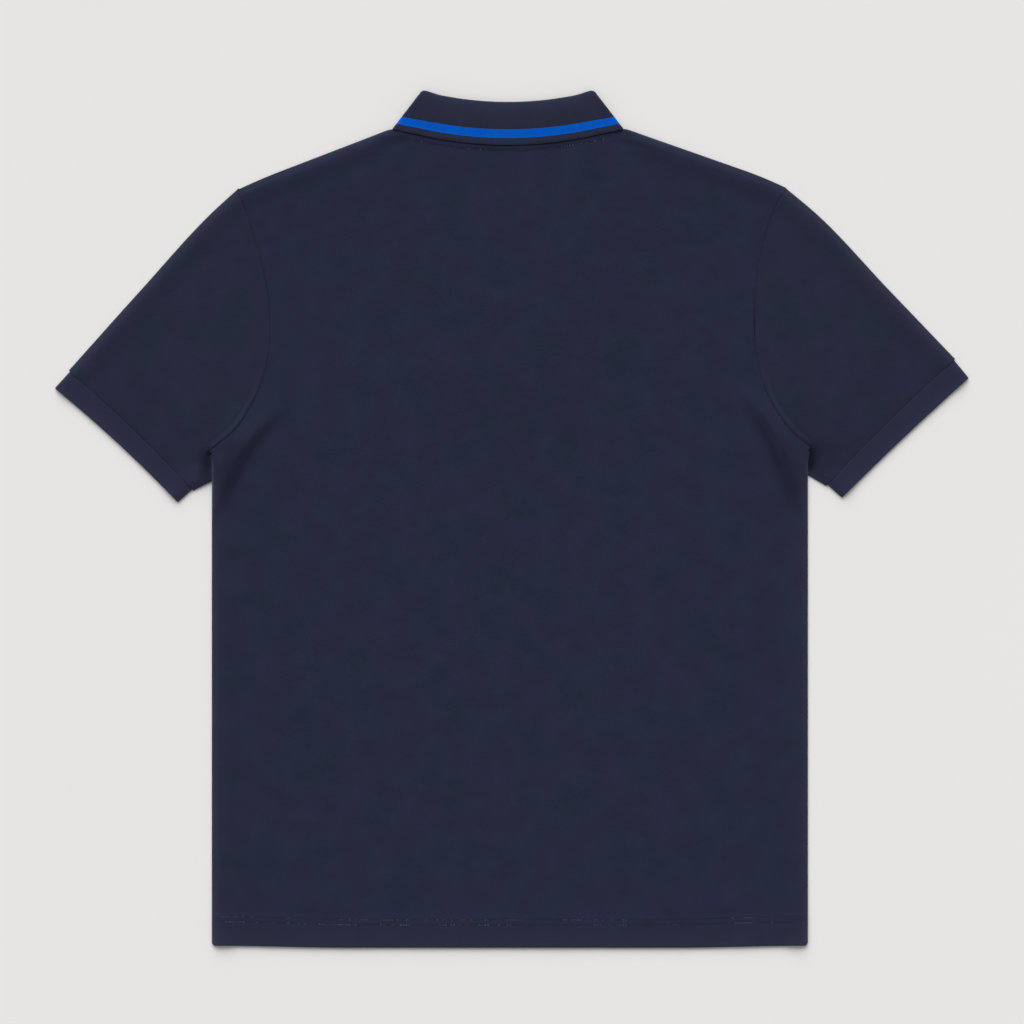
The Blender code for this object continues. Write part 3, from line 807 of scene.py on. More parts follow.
def lifted(folds: Sequence[Fold], reach: Array, y: Array) -> Array:
    """How far some folds together lift the cloth at each (reach, Y) point."""
    return sum((fold.lift(reach, y) for fold in folds), np.zeros(np.broadcast(reach, y).shape))


def painted_shade_from(folds: Sequence[Fold], reach: Array, y: Array) -> Array:
    """How much painted shade some folds lay on the cloth, from 0 to 1, at each (reach, Y) point."""
    return np.minimum(lifted(folds, reach, y), 1.0)


@dataclass(frozen=True)
class Side:
    """One side of the shirt; every pair is (reach, Y).

    Attributes:
        name, sign: The wearer's left or right, and the sign of X there.
        seam_reach: The body's straight side.
        armhole: The armhole's edge from the underarm to the shoulder tip.
        shoulder_slope, tip_drop: The shoulder's fall for each millimetre of reach, and its tip's below it.
        overarm, underarm: The sleeve's upper and lower folds, from the body to the band.
        opening, opening_bow: The opening's corners, and how far its edge bows towards the body.
        band_cut: The width and the depth that the band was cut to, in metres.
        folds: The large folds beside the underarm.
        body_shade, sleeve_shade: How much painted shade darkens the body and the sleeve there, as folds whose
            height is how much.
        creases: The small creases.
    """

    name: str
    sign: float
    seam_reach: float
    armhole: tuple[Point, ...]
    shoulder_slope: float
    tip_drop: float
    overarm: tuple[Point, ...]
    underarm: tuple[Point, ...]
    opening: tuple[Point, Point]
    opening_bow: float
    band_cut: Point
    folds: tuple[Fold, ...]
    body_shade: tuple[Fold, ...]
    sleeve_shade: tuple[Fold, ...]
    creases: tuple[Fold, ...]

    def armhole_reach(self, y: Array) -> Array:
        """The reach of the armhole's edge at each Y."""
        rows = np.array(self.armhole)
        return spline(rows[:, 0], rows[:, 1], y)

    def armhole_line(self) -> Array:
        """The armhole's edge as many close points from the shoulder tip down to the underarm."""
        y = np.linspace(self.armhole[-1][1], self.armhole[0][1], 60)
        return np.column_stack([self.armhole_reach(y), y])

    def lift(self, reach: Array, y: Array) -> Array:
        """How far this side's folds and creases lift the upper layer."""
        return lifted(self.folds + self.creases, reach, y)


LEFT = Side(
    name="left", sign=-1.0, seam_reach=276.9,
    armhole=((279.0, 63.0), (259.0, 79.0), (240.7, 105.0), (228.0, 138.0),
             (223.3, 186.0), (230.6, 235.0), (244.2, 279.0), (253.6, 304.3)),
    shoulder_slope=0.383, tip_drop=2.0,
    overarm=((253.6, 304.3), (274.0, 285.8), (342.4, 211.7), (409.0, 137.4)),
    underarm=((277.3, 35.0), (294.0, 26.4)),
    opening=((422.0, 121.0), (308.4, 15.6)), opening_bow=2.4, band_cut=(0.318, 0.0215),
    folds=(
        Fold((200, 104), (244, 71), (281, -11), 17, 5.4, 5.4),
        Fold((204, 72), (228, 46), (252, -8), 14, 0.8)),
    # painted shade: the troughs beside the underarm and their flank, the side edge there and a crease by the
    # neck
    body_shade=(
        Fold((208, 99), (245, 59), (274, 0), 8, 0.30, 6.5),
        Fold((252, 80), (264, 50), (275, 18), 11, 0.26),
        Fold((277.5, 66), (277.2, 50), (277, 34), 3, 0.24),
        Fold((126, 340), (108, 346.5), (88, 351), 3.5, 0.20)),
    # painted shade: the hollow beside the body under the arm, and the dark slit at the notch
    sleeve_shade=(
        Fold((280.5, 70), (281.5, 51), (281, 31), 6.5, 0.68),
        Fold((279.2, 65), (279.4, 60.8), (279.2, 56.6), 1.8, 0.95)),
    creases=(
        Fold((125, 344), (106, 347.5), (90, 351), 4, -1.3),
        Fold((129, 353), (108, 355.5), (94, 357.5), 3.5, 0.7),
        Fold((170, 20), (205, -30), (215, -110), 22, 0.5),
        Fold((120, 250), (150, 190), (160, 110), 26, 0.4),
        Fold((60, -60), (90, -170), (100, -300), 30, 0.45),
        Fold((300, 205), (315, 160), (318, 110), 16, 0.5),
        Fold((262, 130), (292, 100), (325, 70), 12, 0.5)),
)
RIGHT = Side(
    name="right", sign=1.0, seam_reach=273.4,
    armhole=((275.9, 66.4), (260.8, 79.0), (241.4, 105.0), (229.0, 138.0),
             (223.8, 186.0), (228.8, 235.0), (239.6, 279.0), (253.4, 305.4)),
    shoulder_slope=0.350, tip_drop=2.6,
    overarm=((253.4, 305.4), (277.3, 285.6), (348.4, 211.7), (409.4, 148.0)),
    underarm=((273.8, 40.7), (290.3, 30.9)),
    opening=((422.0, 130.5), (305.0, 19.9)), opening_bow=1.2, band_cut=(0.318, 0.0235),
    folds=(
        Fold((202, 122), (243, 78), (267, -4), 13, 5.4, 5),
        Fold((204, 78), (228, 48), (248, -4), 14, 0.8)),
    # painted shade: the trough beside the underarm and its flank, and a crease by the neck
    body_shade=(
        Fold((210, 112), (243, 60), (264, -6), 8, 0.36, 6),
        Fold((246, 84), (259, 50), (270, 12), 10, 0.20),
        Fold((132, 340), (114, 348), (96, 352), 3.5, 0.17)),
    # painted shade: the hollow under the arm, its flank, and beside the armhole on the sleeve
    sleeve_shade=(
        Fold((274.5, 74), (275, 57), (274, 38), 6.5, 0.80),
        Fold((282, 78), (287, 56), (290, 36), 16, 0.26),
        Fold((244, 118), (264, 88), (288, 66), 14, 0.13)),
    creases=(
        Fold((124, 343), (108, 345.5), (92, 346.5), 4, -1.3),
        Fold((120, 352), (108, 353.5), (96, 354.5), 3, -0.6),
        Fold((165, 10), (200, -50), (210, -140), 24, 0.5),
        Fold((115, 240), (145, 170), (150, 90), 26, 0.4),
        Fold((70, -90), (85, -200), (80, -320), 30, 0.45),
        Fold((305, 200), (322, 155), (325, 105), 16, 0.5),
        Fold((264, 126), (296, 98), (328, 72), 12, 0.5)),
)
SIDES = (LEFT, RIGHT)


@dataclass(frozen=True)
class ShirtShape:
    """The sizes that the pieces share, and how their layers lie.

    Attributes:
        wall, hem_fold: The pique's thickness, and what the turned hem adds to it.
        seam_gap, seam_show: Between sewn pieces, and how wide a groove shows at an armhole.
        layer_gap: Between the back and the front where they lie closest.
        roll, roll_turns: How far in from a folded edge the cloth turns, and the grid's lines round it.
        puff, puff_crest, puff_end: How far the cloth stands up beside a folded edge, and how far in it
            stands highest and lies flat again.
        hem_corner_y, hem_sag, hem_sag_flat: The hem's edge at the sides, how much lower its middle is, and
            the reach up to which it is that low.
        hem_depth, hem_round: The turned hem's depth and the radius of its corners.
        underarm_top: Up to here the grid is finest beside the underarm.
        notch_depth, notch_drop: How far the side pulls in at the underarm, and how far below the armhole.
        neck_x, neck_point_y, neck_point_off: The neck's centre line, and where the shoulders meet the neck.
        shoulder_line_y, neck_dip_end: The shoulders' straight lines there, and how far out they begin.
        back_neck_drop, front_neck_drop: How far the neck seams fall below the neck points.
        placket_half, placket_foot_y: Half the placket's width, and its lower end.
        collar_point_y, lowest_button_y: Down to here the collar and the placket hold up the cloth.
        front_rise, front_spread: How far they lift the front, and how far off it has come down.
        back_rise, back_spread: The same for the back.
        seam_dip, seam_dip_width: How far a seam draws the cloth in, and how wide.
        wear_depth: How far in from a folded edge its painted highlight has mostly faded.
    """

    wall: float = 1.2
    hem_fold: float = 0.7
    seam_gap: float = 0.3
    seam_show: float = 0.07
    layer_gap: float = 0.4
    roll: float = 3.2
    roll_turns: tuple[float, ...] = (0.0, 15.0, 30.0, 45.0, 60.0, 75.0, 90.0)
    puff: float = 2.1
    puff_crest: float = 8.0
    puff_end: float = 26.0
    hem_corner_y: float = -393.7
    hem_sag: float = 1.9
    hem_sag_flat: float = 150.0
    hem_depth: float = 29.0
    hem_round: float = 3.4
    underarm_top: float = 67.0
    notch_depth: float = 1.9
    notch_drop: float = 2.6
    neck_x: float = -3.5
    neck_point_y: float = 361.7
    neck_point_off: float = 98.0
    shoulder_line_y: float = 364.2
    neck_dip_end: float = 14.0
    back_neck_drop: float = 13.5
    front_neck_drop: float = 86.0
    placket_half: float = 17.0
    placket_foot_y: float = 127.0
    collar_point_y: float = 242.0
    lowest_button_y: float = 153.5
    front_rise: float = 2.3
    front_spread: float = 30.0
    back_rise: float = 4.1
    back_spread: float = 110.0
    seam_dip: float = 0.12
    seam_dip_width: float = 1.6
    wear_depth: float = 6.0

    def stand_up(self, distance: Array) -> Array:
        """How far the cloth stands up at a distance from a rolled edge."""
        fall = 1 - smooth((distance - self.puff_crest) / (self.puff_end - self.puff_crest))
        return self.puff * smooth(distance / self.puff_crest) * fall

    def roll_line(self, angle: float, thickness: float, rolled: Array | float,
                  face: Face) -> tuple[Array, Array]:
        """Finds a line of a grid that lies round a rolled edge.

        Args:
            angle: Degrees round the roll.
            thickness: The cloth's thickness.
            rolled: 1 where the edge is rolled and 0 where it is cut.
            face: The cloth's outer or inner face.

        Returns:
            How far the line is from the edge, and the share of the full height that it has climbed.
        """
        turn = math.radians(angle)
        flat = self.roll * (1 - math.cos(turn))
        curled = flat
        if face is Face.INNER:
            curled = thickness + (self.roll - thickness) * (1 - math.cos(turn))
        return flat + rolled * (curled - flat), 1 + rolled * (math.sin(turn) - 1)

    def side_reach(self, side: Side, y: Array) -> Array:
        """Finds the body's edge: its straight side, then the armhole.

        Args:
            side: The side of the shirt.
            y: The Y to read it at.

        Returns:
            The edge's reach there.
        """
        end_reach, end_y = side.armhole[0]
        straight = side.seam_reach + (end_reach - side.seam_reach) * smooth((y - 50.0) / (end_y - 50.0))
        return np.where(y < end_y, straight, side.armhole_reach(y))

    def edge_reach(self, x: Array, y: Array) -> Array:
        """The reach of the body's edge on the side that each point is on."""
        return np.where(x < 0, self.side_reach(LEFT, y), self.side_reach(RIGHT, y))

    def seam_reach(self, x: Array) -> Array:
        """The reach of the body's straight side on the side that each X is on."""
        return np.where(x < 0, LEFT.seam_reach, RIGHT.seam_reach)

    def notch(self, side: Side, y: Array) -> Array:
        """How far the body's edge pulls in where the side seam meets the armhole."""
        return self.notch_depth * bell(y - side.armhole[0][1] + self.notch_drop, 1.7)

    def rolled_share(self, y: Array) -> Array:
        """1 on the body's side, where its edge is rolled, and 0 on the armhole, where it is a seam."""
        return 1.0 - smooth((y - 52.0) / 10.0)

    def shoulder_y(self, x: Array) -> Array:
        """Finds the shoulders.

        Args:
            x: The X to read them at.

        Returns:
            The Y there of the shoulder on that side.
        """
        result = np.zeros_like(x)
        for side in SIDES:
            reach = x * side.sign
            neck = self.neck_point_off + self.neck_x * side.sign
            line = self.shoulder_line_y - side.shoulder_slope * (reach - neck)
            drop = side.tip_drop * np.clip((reach - side.armhole[-1][0] + 40.0) / 40.0, 0.0, 1.5) ** 2
            dip = 1 - smooth((reach - neck) / self.neck_dip_end)
            dip = (self.shoulder_line_y - self.neck_point_y) * dip
            result = np.where(reach > 0, line - drop - dip, result)
        return result

    def top_y(self, x: Array, layer: Layer) -> Array:
        """Finds a panel's upper edge: a shoulder, the neck seam and the other shoulder.

        Args:
            x: The X to read it at.
            layer: Which panel; the back's neck seam is shallow and the front's is deep.

        Returns:
            The edge's Y there.
        """
        off = np.clip(np.abs(x - self.neck_x) / self.neck_point_off, 0.0, 1.0)
        if layer is Layer.BACK:
            neck = self.neck_point_y - self.back_neck_drop * (1.0 - off * off)
        else:
            neck = self.neck_point_y - self.front_neck_drop * np.sqrt(1.0 - off * off)
        return np.where(off < 1.0, neck, self.shoulder_y(x))

    def hem_y(self, x: Array) -> Array:
        """Finds the hem's edge, with its rounded corners.

        Args:
            x: The X to read it at.

        Returns:
            The edge's Y there.
        """
        side = self.seam_reach(x)
        sagging = 1 - smooth((np.abs(x) - self.hem_sag_flat) / (side - self.hem_sag_flat))
        into = np.clip((np.abs(x) - side + self.hem_round) / self.hem_round, 0.0, 1.0)
        return self.hem_corner_y - self.hem_sag * sagging + self.hem_round * (1 - np.sqrt(1 - into * into))

    def support(self, x: Array, y: Array, spread: float) -> Array:
        """Finds how fully the collar's points and the placket hold up the cloth.

        Args:
            x: The points' X.
            y: Their Y.
            spread: How far from them the cloth comes down.

        Returns:
            The share of the full rise, from 0 to 1.
        """
        off = np.abs(x - self.neck_x)
        leaf_half = np.interp(y, (self.collar_point_y, 300.0, 360.0), (53.0, 100.0, 110.0))
        leaf = np.hypot(np.maximum(off - leaf_half, 0), np.maximum(self.collar_point_y - y, 0))
        strip = np.hypot(np.maximum(off - self.placket_half, 0), np.maximum(self.lowest_button_y - y, 0))
        return 1.0 - smooth(leaf / spread) * smooth(strip / spread)

    def thickness(self, x: Array, y: Array) -> Array:
        """The body's thickness, doubled by the turned hem."""
        return self.wall + self.hem_fold * (1 - smooth((y - self.hem_y(x) - self.hem_depth + 1.0) / 2.0))

    def front_under(self, x: Array, y: Array) -> Array:
        """The height of the front panel's outer face, which lies on the table."""
        return self.front_rise * self.support(x, y, self.front_spread)

    def back_under(self, x: Array, y: Array) -> Array:
        """The height of the back panel's inner face, without its folds."""
        hem = self.hem_fold * (1 - smooth((y - self.hem_y(x) - self.hem_depth) / 35.0))
        return self.wall + self.layer_gap + hem + self.back_rise * self.support(x, y, self.back_spread)

    def painted_highlight_at(self, distance: Array) -> Array:
        """How strong the painted highlight is at a distance from a folded edge, from 1 at the edge."""
        return np.exp(-np.maximum(distance, 0.0) / self.wear_depth)

    def edge_stand_up(self, x: Array, y: Array) -> Array:
        """Finds how far the back stands up beside its rolled sides and shoulders.

        Args:
            x: The points' X.
            y: Their Y.

        Returns:
            The height in millimetres.
        """
        sides = self.stand_up(self.edge_reach(x, y) - np.abs(x)) * self.rolled_share(y)
        sides = sides * (1.0 - 0.7 * bell(y - 40.0, 40.0))
        on_shoulder = smooth((np.abs(x - self.neck_x) - self.neck_point_off - 6.0) / 20.0)
        return sides + self.stand_up(self.top_y(x, Layer.BACK) - y) * on_shoulder


SHAPE = ShirtShape()


# Pieces


@dataclass
class Piece:
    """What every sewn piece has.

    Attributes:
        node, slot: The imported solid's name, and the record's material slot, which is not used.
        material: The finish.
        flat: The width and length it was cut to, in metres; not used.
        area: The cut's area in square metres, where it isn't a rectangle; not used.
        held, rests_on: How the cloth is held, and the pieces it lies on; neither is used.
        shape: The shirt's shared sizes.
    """

    node: str
    slot: str
    material: Material
    flat: Point
    area: float | None = None
    held: Held = Held.LAID
    rests_on: tuple[str, ...] = ()
    shape: ShirtShape = SHAPE

    def dress(self, shell: Shell) -> None:
        """Makes the piece's mesh, in its material and its place.

        Args:
            shell: The finished wall of cloth.
        """
        piece = shell.build(self.node + "_cloth")
        piece.data.materials.append(self.material)
        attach(piece, "root")
        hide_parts(self.node)
        list(self.rests_on)
        log.info("%s: %d faces", piece.name, len(piece.data.polygons))


@dataclass(frozen=True)
class Column:
    """A column of a panel's grid.

    Attributes:
        side: The side it is measured in from, or None in the middle.
        angle: Degrees round the side's roll, or None past it.
        value: The distance in from the side, or the column's X.
    """

    side: Side | None
    angle: float | None
    value: float


@dataclass(frozen=True)
class Row:
    """A row of a panel's grid: what it is measured from, and by how much."""

    kind: RowKind
    value: float


@dataclass
class Panel(Piece):
    """The back or the front of the body, with rolled sides and shoulders and a turned hem.

    Attributes:
        layer: Back or front.
        mesh_size: The usual distance between the grid's lines.
        side_steady, fold_end: How far in from a side the columns follow its shape, and are close together.
        neck_side: How far out from the neck the middle columns go on.
        hem_lines, hem_roll: The rows nearest the hem's edge, and how far up from it the cloth has turned.
        hem_rows, hem_rows_rise: Its rows of stitches above the edge, and how much higher near the sides.
        row_lines_near: The grid's rows about a row of stitches, up from it.
        neck_row_y, neck_row_bow, neck_row_x: The row of stitches below the collar, and how it rises to both
            sides of its middle.
    """

    layer: Layer = Layer.BACK
    mesh_size: float = 4.0
    side_steady: float = 150.0
    fold_end: float = 72.0
    neck_side: float = 25.0
    hem_lines: tuple[float, ...] = (0.0, 0.15, 0.45, 0.9, 1.5, 2.3, 3.2, 4.4, 6.0)
    hem_roll: float = 3.2
    hem_rows: tuple[float, float] = (21.0, 25.7)
    hem_rows_rise: float = 1.2
    row_lines_near: tuple[float, ...] = (-2.4, -1.6, -0.8, 0.0, 0.8, 1.6)
    neck_row_y: float = 340.4
    neck_row_bow: float = 0.0013
    neck_row_x: float = -4.6

    def columns(self) -> list[Column]:
        """Lays out the grid's columns.

        Returns:
            The columns from left to right.
        """
        shape, size = self.shape, self.mesh_size
        inwards = [4.2, 5.4, *steps(6.8, self.fold_end, 2.4), *steps(self.fold_end, self.side_steady, size)]
        neck, slot = shape.neck_point_off, shape.placket_half + shape.seam_gap
        stops = (-neck - self.neck_side, -neck, -slot, 0.0)
        half = [x for start, end in zip(stops, stops[1:]) for x in steps(start, end, size)]
        middle = [*half, 0.0, *(-x for x in reversed(half))]
        left = [Column(LEFT, angle, 0.0) for angle in shape.roll_turns]
        left += [Column(LEFT, None, d) for d in inwards]
        right = [Column(RIGHT, column.angle, column.value) for column in reversed(left)]
        return left + [Column(None, None, shape.neck_x + x) for x in middle] + right

    def rows(self) -> list[Row]:
        """Lays out the grid's rows.

        Returns:
            The rows from the hem up.
        """
        shape, size = self.shape, self.mesh_size
        low, high = self.hem_rows
        near = [*self.hem_lines, *steps(8.0, low + self.row_lines_near[0], size)]
        near += [low + d for d in self.row_lines_near] + [high + d for d in (*self.row_lines_near, 3.5, 6.0)]
        start = shape.hem_corner_y + high + 6.0 + size
        levels = [*steps(start, -10.0, size), *steps(-10.0, 50.0, 2.6), *steps(50.0, shape.underarm_top, 0.8),
                  *steps(shape.underarm_top, 110.0, 2.6), *steps(110.0, shape.placket_foot_y, size)]
        shares = [*steps(0.0, 1.0, 1 / 52), 1.0]
        tops = [*reversed([4.2, 5.2, *steps(6.0, 10.8, 0.8), *steps(10.8, shape.puff_end, 2.4)])]
        parts = ((RowKind.HEM, near), (RowKind.LEVEL, levels), (RowKind.SHARE, shares), (RowKind.TOP, tops),
                 (RowKind.ROLL, reversed(shape.roll_turns)))
        return [Row(kind, value) for kind, values in parts for value in values]

    def flat_points(self, face: Face) -> tuple[Array, Array, Array]:
        """Places the grid over the table.

        Args:
            face: The cloth's outer or inner face.

        Returns:
            Each point's X, its Y and the share of its full height that it has climbed.
        """
        shape = self.shape
        columns, rows = self.columns(), self.rows()
        start = [c.value if c.side is None else
                 c.side.sign * (c.side.seam_reach - c.value - (0.0 if c.angle is None else shape.roll))
                 for c in columns]
        x = np.tile(np.array(start), (len(rows), 1))
        y = np.zeros_like(x)
        climbed = np.ones_like(x)
        for _ in range(4):  # a row's height depends on X, and a column's X on the height
            climbed[:] = 1.0
            for j, row in enumerate(rows):
                in_neck = np.abs(x[j] - shape.neck_x) < shape.neck_point_off + 0.01
                upper = shape.top_y(x[j], self.layer) - np.where(in_neck, shape.seam_gap, 0.0)
                y[j] = self.row_height(row, x[j], upper, in_neck, face, climbed[j])
            for i, column in enumerate(columns):
                if column.side is None:
                    continue
                side = column.side
                edge = shape.side_reach(side, y[:, i]) - shape.notch(side, y[:, i])
                edge = edge - np.where(y[:, i] > side.armhole[0][1], shape.seam_show / 2, 0.0)
                distance = column.value
                if column.angle is not None:
                    rolled = shape.rolled_share(y[:, i])
                    distance, share = shape.roll_line(column.angle, shape.wall, rolled, face)
                    climbed[:, i] *= share
                shift = (edge - side.seam_reach) * np.clip(1 - distance / self.side_steady, 0.0, 1.0)
                x[:, i] = side.sign * (side.seam_reach + shift - distance)
        return x, y, climbed

    def row_height(self, row: Row, x: Array, upper: Array, in_neck: Array, face: Face,
                   climbed: Array) -> Array:
        """Finds the Y of one row's points.

        Args:
            row: The row.
            x: Its points' X.
            upper: The panel's upper edge above each point.
            in_neck: Which points are below the neck seam.
            face: The cloth's outer or inner face.
            climbed: The points' share of the full height, scaled in place on the roll.

        Returns:
            The points' Y.
        """
        shape = self.shape
        if row.kind is RowKind.HEM:
            round_end = self.hem_lines[-1]
            edge = shape.hem_y(x) if row.value <= round_end else self.plain_hem_y(x)
            return edge + row.value + self.row_rise(x) * smooth((row.value - round_end) / 12.0)
        if row.kind is RowKind.LEVEL:
            return np.full_like(x, row.value)
        if row.kind is RowKind.SHARE:
            return shape.placket_foot_y + row.value * (upper - shape.puff_end - shape.placket_foot_y)
        if row.kind is RowKind.TOP:
            return upper - row.value
        distance, share = shape.roll_line(row.value, shape.wall, np.where(in_neck, 0.0, 1.0), face)
        climbed *= share
        return upper - distance

    def plain_hem_y(self, x: Array) -> Array:
        """The hem's edge without its rounded corners."""
        side = self.shape.seam_reach(x) - self.shape.hem_round
        return self.shape.hem_y(np.clip(x, -side, side))

    def row_rise(self, x: Array) -> Array:
        """How much higher than in the middle the hem's rows of stitches are."""
        return self.hem_rows_rise * smooth((np.abs(x) - 100.0) / 150.0)

    def hem_row(self, x: Array, number: int) -> Array:
        """The Y of one of the hem's rows of stitches."""
        return self.plain_hem_y(x) + self.hem_rows[number] + self.row_rise(x)

    def neck_row(self, x: Array) -> Array:
        """The Y of the row of stitches below the back of the collar."""
        return self.neck_row_y + self.neck_row_bow * np.square(x - self.neck_row_x)

    def relief(self, x: Array, y: Array) -> Array:
        """Shapes the back's outer face finely: its seams, rows of stitches and uneven cloth.

        Args:
            x: The points' X.
            y: Their Y.

        Returns:
            The relief in millimetres.
        """
        shape = self.shape
        total = np.zeros_like(x)
        for side in SIDES:
            away, where = distance_to_line(x * side.sign, y, side.armhole_line())
            away = np.abs(away)
            total -= shape.seam_dip * bell(away, shape.seam_dip_width)
            beside = smooth((where - 0.3) / 0.1) * smooth((0.66 - where) / 0.1)
            total += 0.35 * beside * smooth(away / 2.0) * smooth((7.0 - away) / 4.0)
        hem = y - self.plain_hem_y(x) - self.row_rise(x)
        pucker = 0.75 + 0.25 * np.sin(x / 1.9 + 3.0 * wander(x, y, 5, 60.0))
        for above in self.hem_rows:
            total += 0.12 * bell(hem - above + 2.6, 1.5) - 0.09 * pucker * bell(hem - above, 1.0)
        total -= 0.12 * bell(hem - self.hem_rows[1] - 2.9, 0.9)
        total += 0.10 * wander(x, y, 8, 14.0) * smooth((self.hem_rows[1] + 10.0 - hem) / 10.0)
        below = y - self.neck_row(x)
        near = smooth((106.0 - np.abs(x - self.neck_row_x)) / 8.0)
        total += near * (0.3 * smooth((below + 1.0) / 2.5) - 0.15 * bell(below, 1.3))
        return total + 0.16 * wander(x, y, 3, 70.0) + 0.07 * wander(x, y, 4, 24.0)

    def height(self, x: Array, y: Array, face: Face) -> Array:
        """The height of a face away from the rolled edges.

        Args:
            x: The points' X.
            y: Their Y.
            face: The cloth's outer or inner face.

        Returns:
            The height in millimetres.
        """
        shape = self.shape
        under, thick = shape.front_under(x, y), shape.thickness(x, y)
        if self.layer is Layer.FRONT:
            uneven = 0.15 * np.maximum(0.0, wander(x, y, 11, 45.0)) * smooth(under)
            return under + (uneven if face is Face.OUTER else thick)
        folds = sum(np.where(x * side.sign > 0, side.lift(x * side.sign, y), 0.0) for side in SIDES)
        low = shape.back_under(x, y) + shape.edge_stand_up(x, y) + folds
        low = np.maximum(low, under + thick + 0.1)
        return low if face is Face.INNER else low + thick + self.relief(x, y)

    def build(self) -> None:
        """Makes the panel."""
        shape = self.shape
        faces = []
        for face in Face:
            x, y, climbed = self.flat_points(face)
            full = self.height(x, y, face)
            seam = (shape.back_under(x, y) + shape.front_under(x, y) + shape.thickness(x, y)) / 2
            start = seam + (shape.seam_gap / 2 if self.layer is Layer.BACK else -shape.seam_gap / 2)
            faces.append(np.stack([x, y, start + (full - start) * climbed], axis=-1))
        outer, inner = faces
        self.round_hem(outer, inner)
        kept = self.slot_cells() if self.layer is Layer.FRONT else None
        x, y = outer[..., 0], outer[..., 1]
        maps = {CLOTH_MAP: outer[..., :2], SEWING_MAP: self.sewing(x, y), PAINTED_LIGHT_MAP: self.wear(x, y)}
        self.dress(Shell(outer, inner, maps, kept=kept))

    def wear(self, x: Array, y: Array) -> Array:
        """Finds the painted highlight by the folded edges and over the hem band, and the painted shade.

        Args:
            x: The points' X.
            y: Their Y.

        Returns:
            The painted highlight and the painted shade at each point, from 0 to about 1.
        """
        shape = self.shape
        edge = shape.edge_reach(x, y) - np.abs(x)
        below = shape.top_y(x, self.layer) - y
        shoulder = smooth((np.abs(x - shape.neck_x) - shape.neck_point_off) / 10.0)
        above = y - shape.hem_y(x)
        # painted highlight: lighter along the rolled sides but less by the underarm, on the shoulders, at the
        # hem's edge and over the hem band
        painted_light_amount = (shape.painted_highlight_at(edge) * shape.rolled_share(y) * (1.0 - 0.9 * bell(y - 48.0, 22.0))
                + 0.6 * shape.painted_highlight_at(below) * shoulder + 1.05 * shape.painted_highlight_at(above)
                + 0.12 * smooth((shape.hem_depth - 3.0 - above) / 3.0))
        # painted shade: the body's shade folds, and a dark line along the neck's row of stitches
        dent_and_painted_shade = np.zeros_like(painted_light_amount)
        if self.layer is Layer.BACK:
            for side in SIDES:
                reach = x * side.sign
                dent_and_painted_shade += np.where(reach > 0, painted_shade_from(side.body_shade, reach, y), 0.0)
            near = smooth((92.0 - np.abs(x - self.neck_row_x)) / 30.0)
            dent_and_painted_shade += 0.42 * near * bell(y - self.neck_row(x), 1.2) * (0.85 + 0.3 * wander(x, y, 9, 26.0))
        return np.stack([np.minimum(painted_light_amount, 1.2), np.maximum(dent_and_painted_shade, 0.0)], axis=-1)

    def row_lines(self) -> list[Array]:
        """Lays out the rows of stitches.

        Returns:
            Close (X, Y) points from left to right, for each row.
        """
        x = np.arange(-LEFT.seam_reach + 7.0, RIGHT.seam_reach - 7.0, 1.0)
        lines = [np.column_stack([x, self.hem_row(x, number)]) for number in (0, 1)]
        if self.layer is Layer.BACK:
            x = np.arange(-92.0, 88.0, 1.0)
            lines.append(np.column_stack([x, self.neck_row(x)]))
        return lines

    def sewing(self, x: Array, y: Array) -> Array:
        """Finds the row of stitches that is nearest to each point.

        Args:
            x: The points' X.
            y: Their Y.

        Returns:
            How far along the row each point is, and how close to it, from 0 far off to the sewn reach on it.
        """
        best = np.full(x.shape, SEWN_REACH)
        travel = np.zeros_like(x)
        for line in self.row_lines():
            start, end = line[0, 0], line[-1, 0]
            away = np.abs(y - np.interp(x, line[:, 0], line[:, 1]))
            away += np.maximum(np.abs(x - (start + end) / 2) - (end - start) / 2, 0.0)
            nearer = away < best
            travel = np.where(nearer, np.interp(x, line[:, 0], travel_along(line)), travel)
            best = np.where(nearer, away, best)
        for side in SIDES:
            line = side.armhole_line() - np.array((0.7, 0.0))
            away, where = distance_to_line(x * side.sign, y, line)
            nearer = np.abs(away) < best
            travel = np.where(nearer, where * travel_along(line)[-1], travel)
            best = np.where(nearer, np.abs(away), best)
        return np.stack([travel, SEWN_REACH - best], axis=-1)

    def round_hem(self, outer: Array, inner: Array) -> None:
        """Turns the cloth round the hem's edge, in the first rows of both faces.

        Args:
            outer: The outer face's points, changed in place.
            inner: The inner face's points, changed in place.
        """
        low = np.minimum(outer[:, :, 2], inner[:, :, 2])
        middle = low + 0.25 * np.abs(outer[:, :, 2] - inner[:, :, 2])
        for row, distance in enumerate(self.hem_lines):
            share = math.sqrt(1 - (1 - min(1.0, distance / self.hem_roll)) ** 2) * 0.94 + 0.06
            for face in (outer, inner):
                face[row, :, 2] = middle[row] + share * (face[row, :, 2] - middle[row])

    def slot_cells(self) -> Array:
        """Cuts the placket's slot out of the front.

        Returns:
            Which of the grid's cells are cloth.
        """
        columns, rows = self.columns(), self.rows()
        edge = self.shape.placket_half + self.shape.seam_gap
        inside = [c.side is None and abs(c.value - self.shape.neck_x) < edge + 0.01 for c in columns]
        foot = next(j for j, row in enumerate(rows) if row.kind is RowKind.SHARE)
        kept = np.ones((len(rows) - 1, len(columns) - 1), dtype=bool)
        kept[foot:, [a and b for a, b in zip(inside, inside[1:])]] = False
        return kept


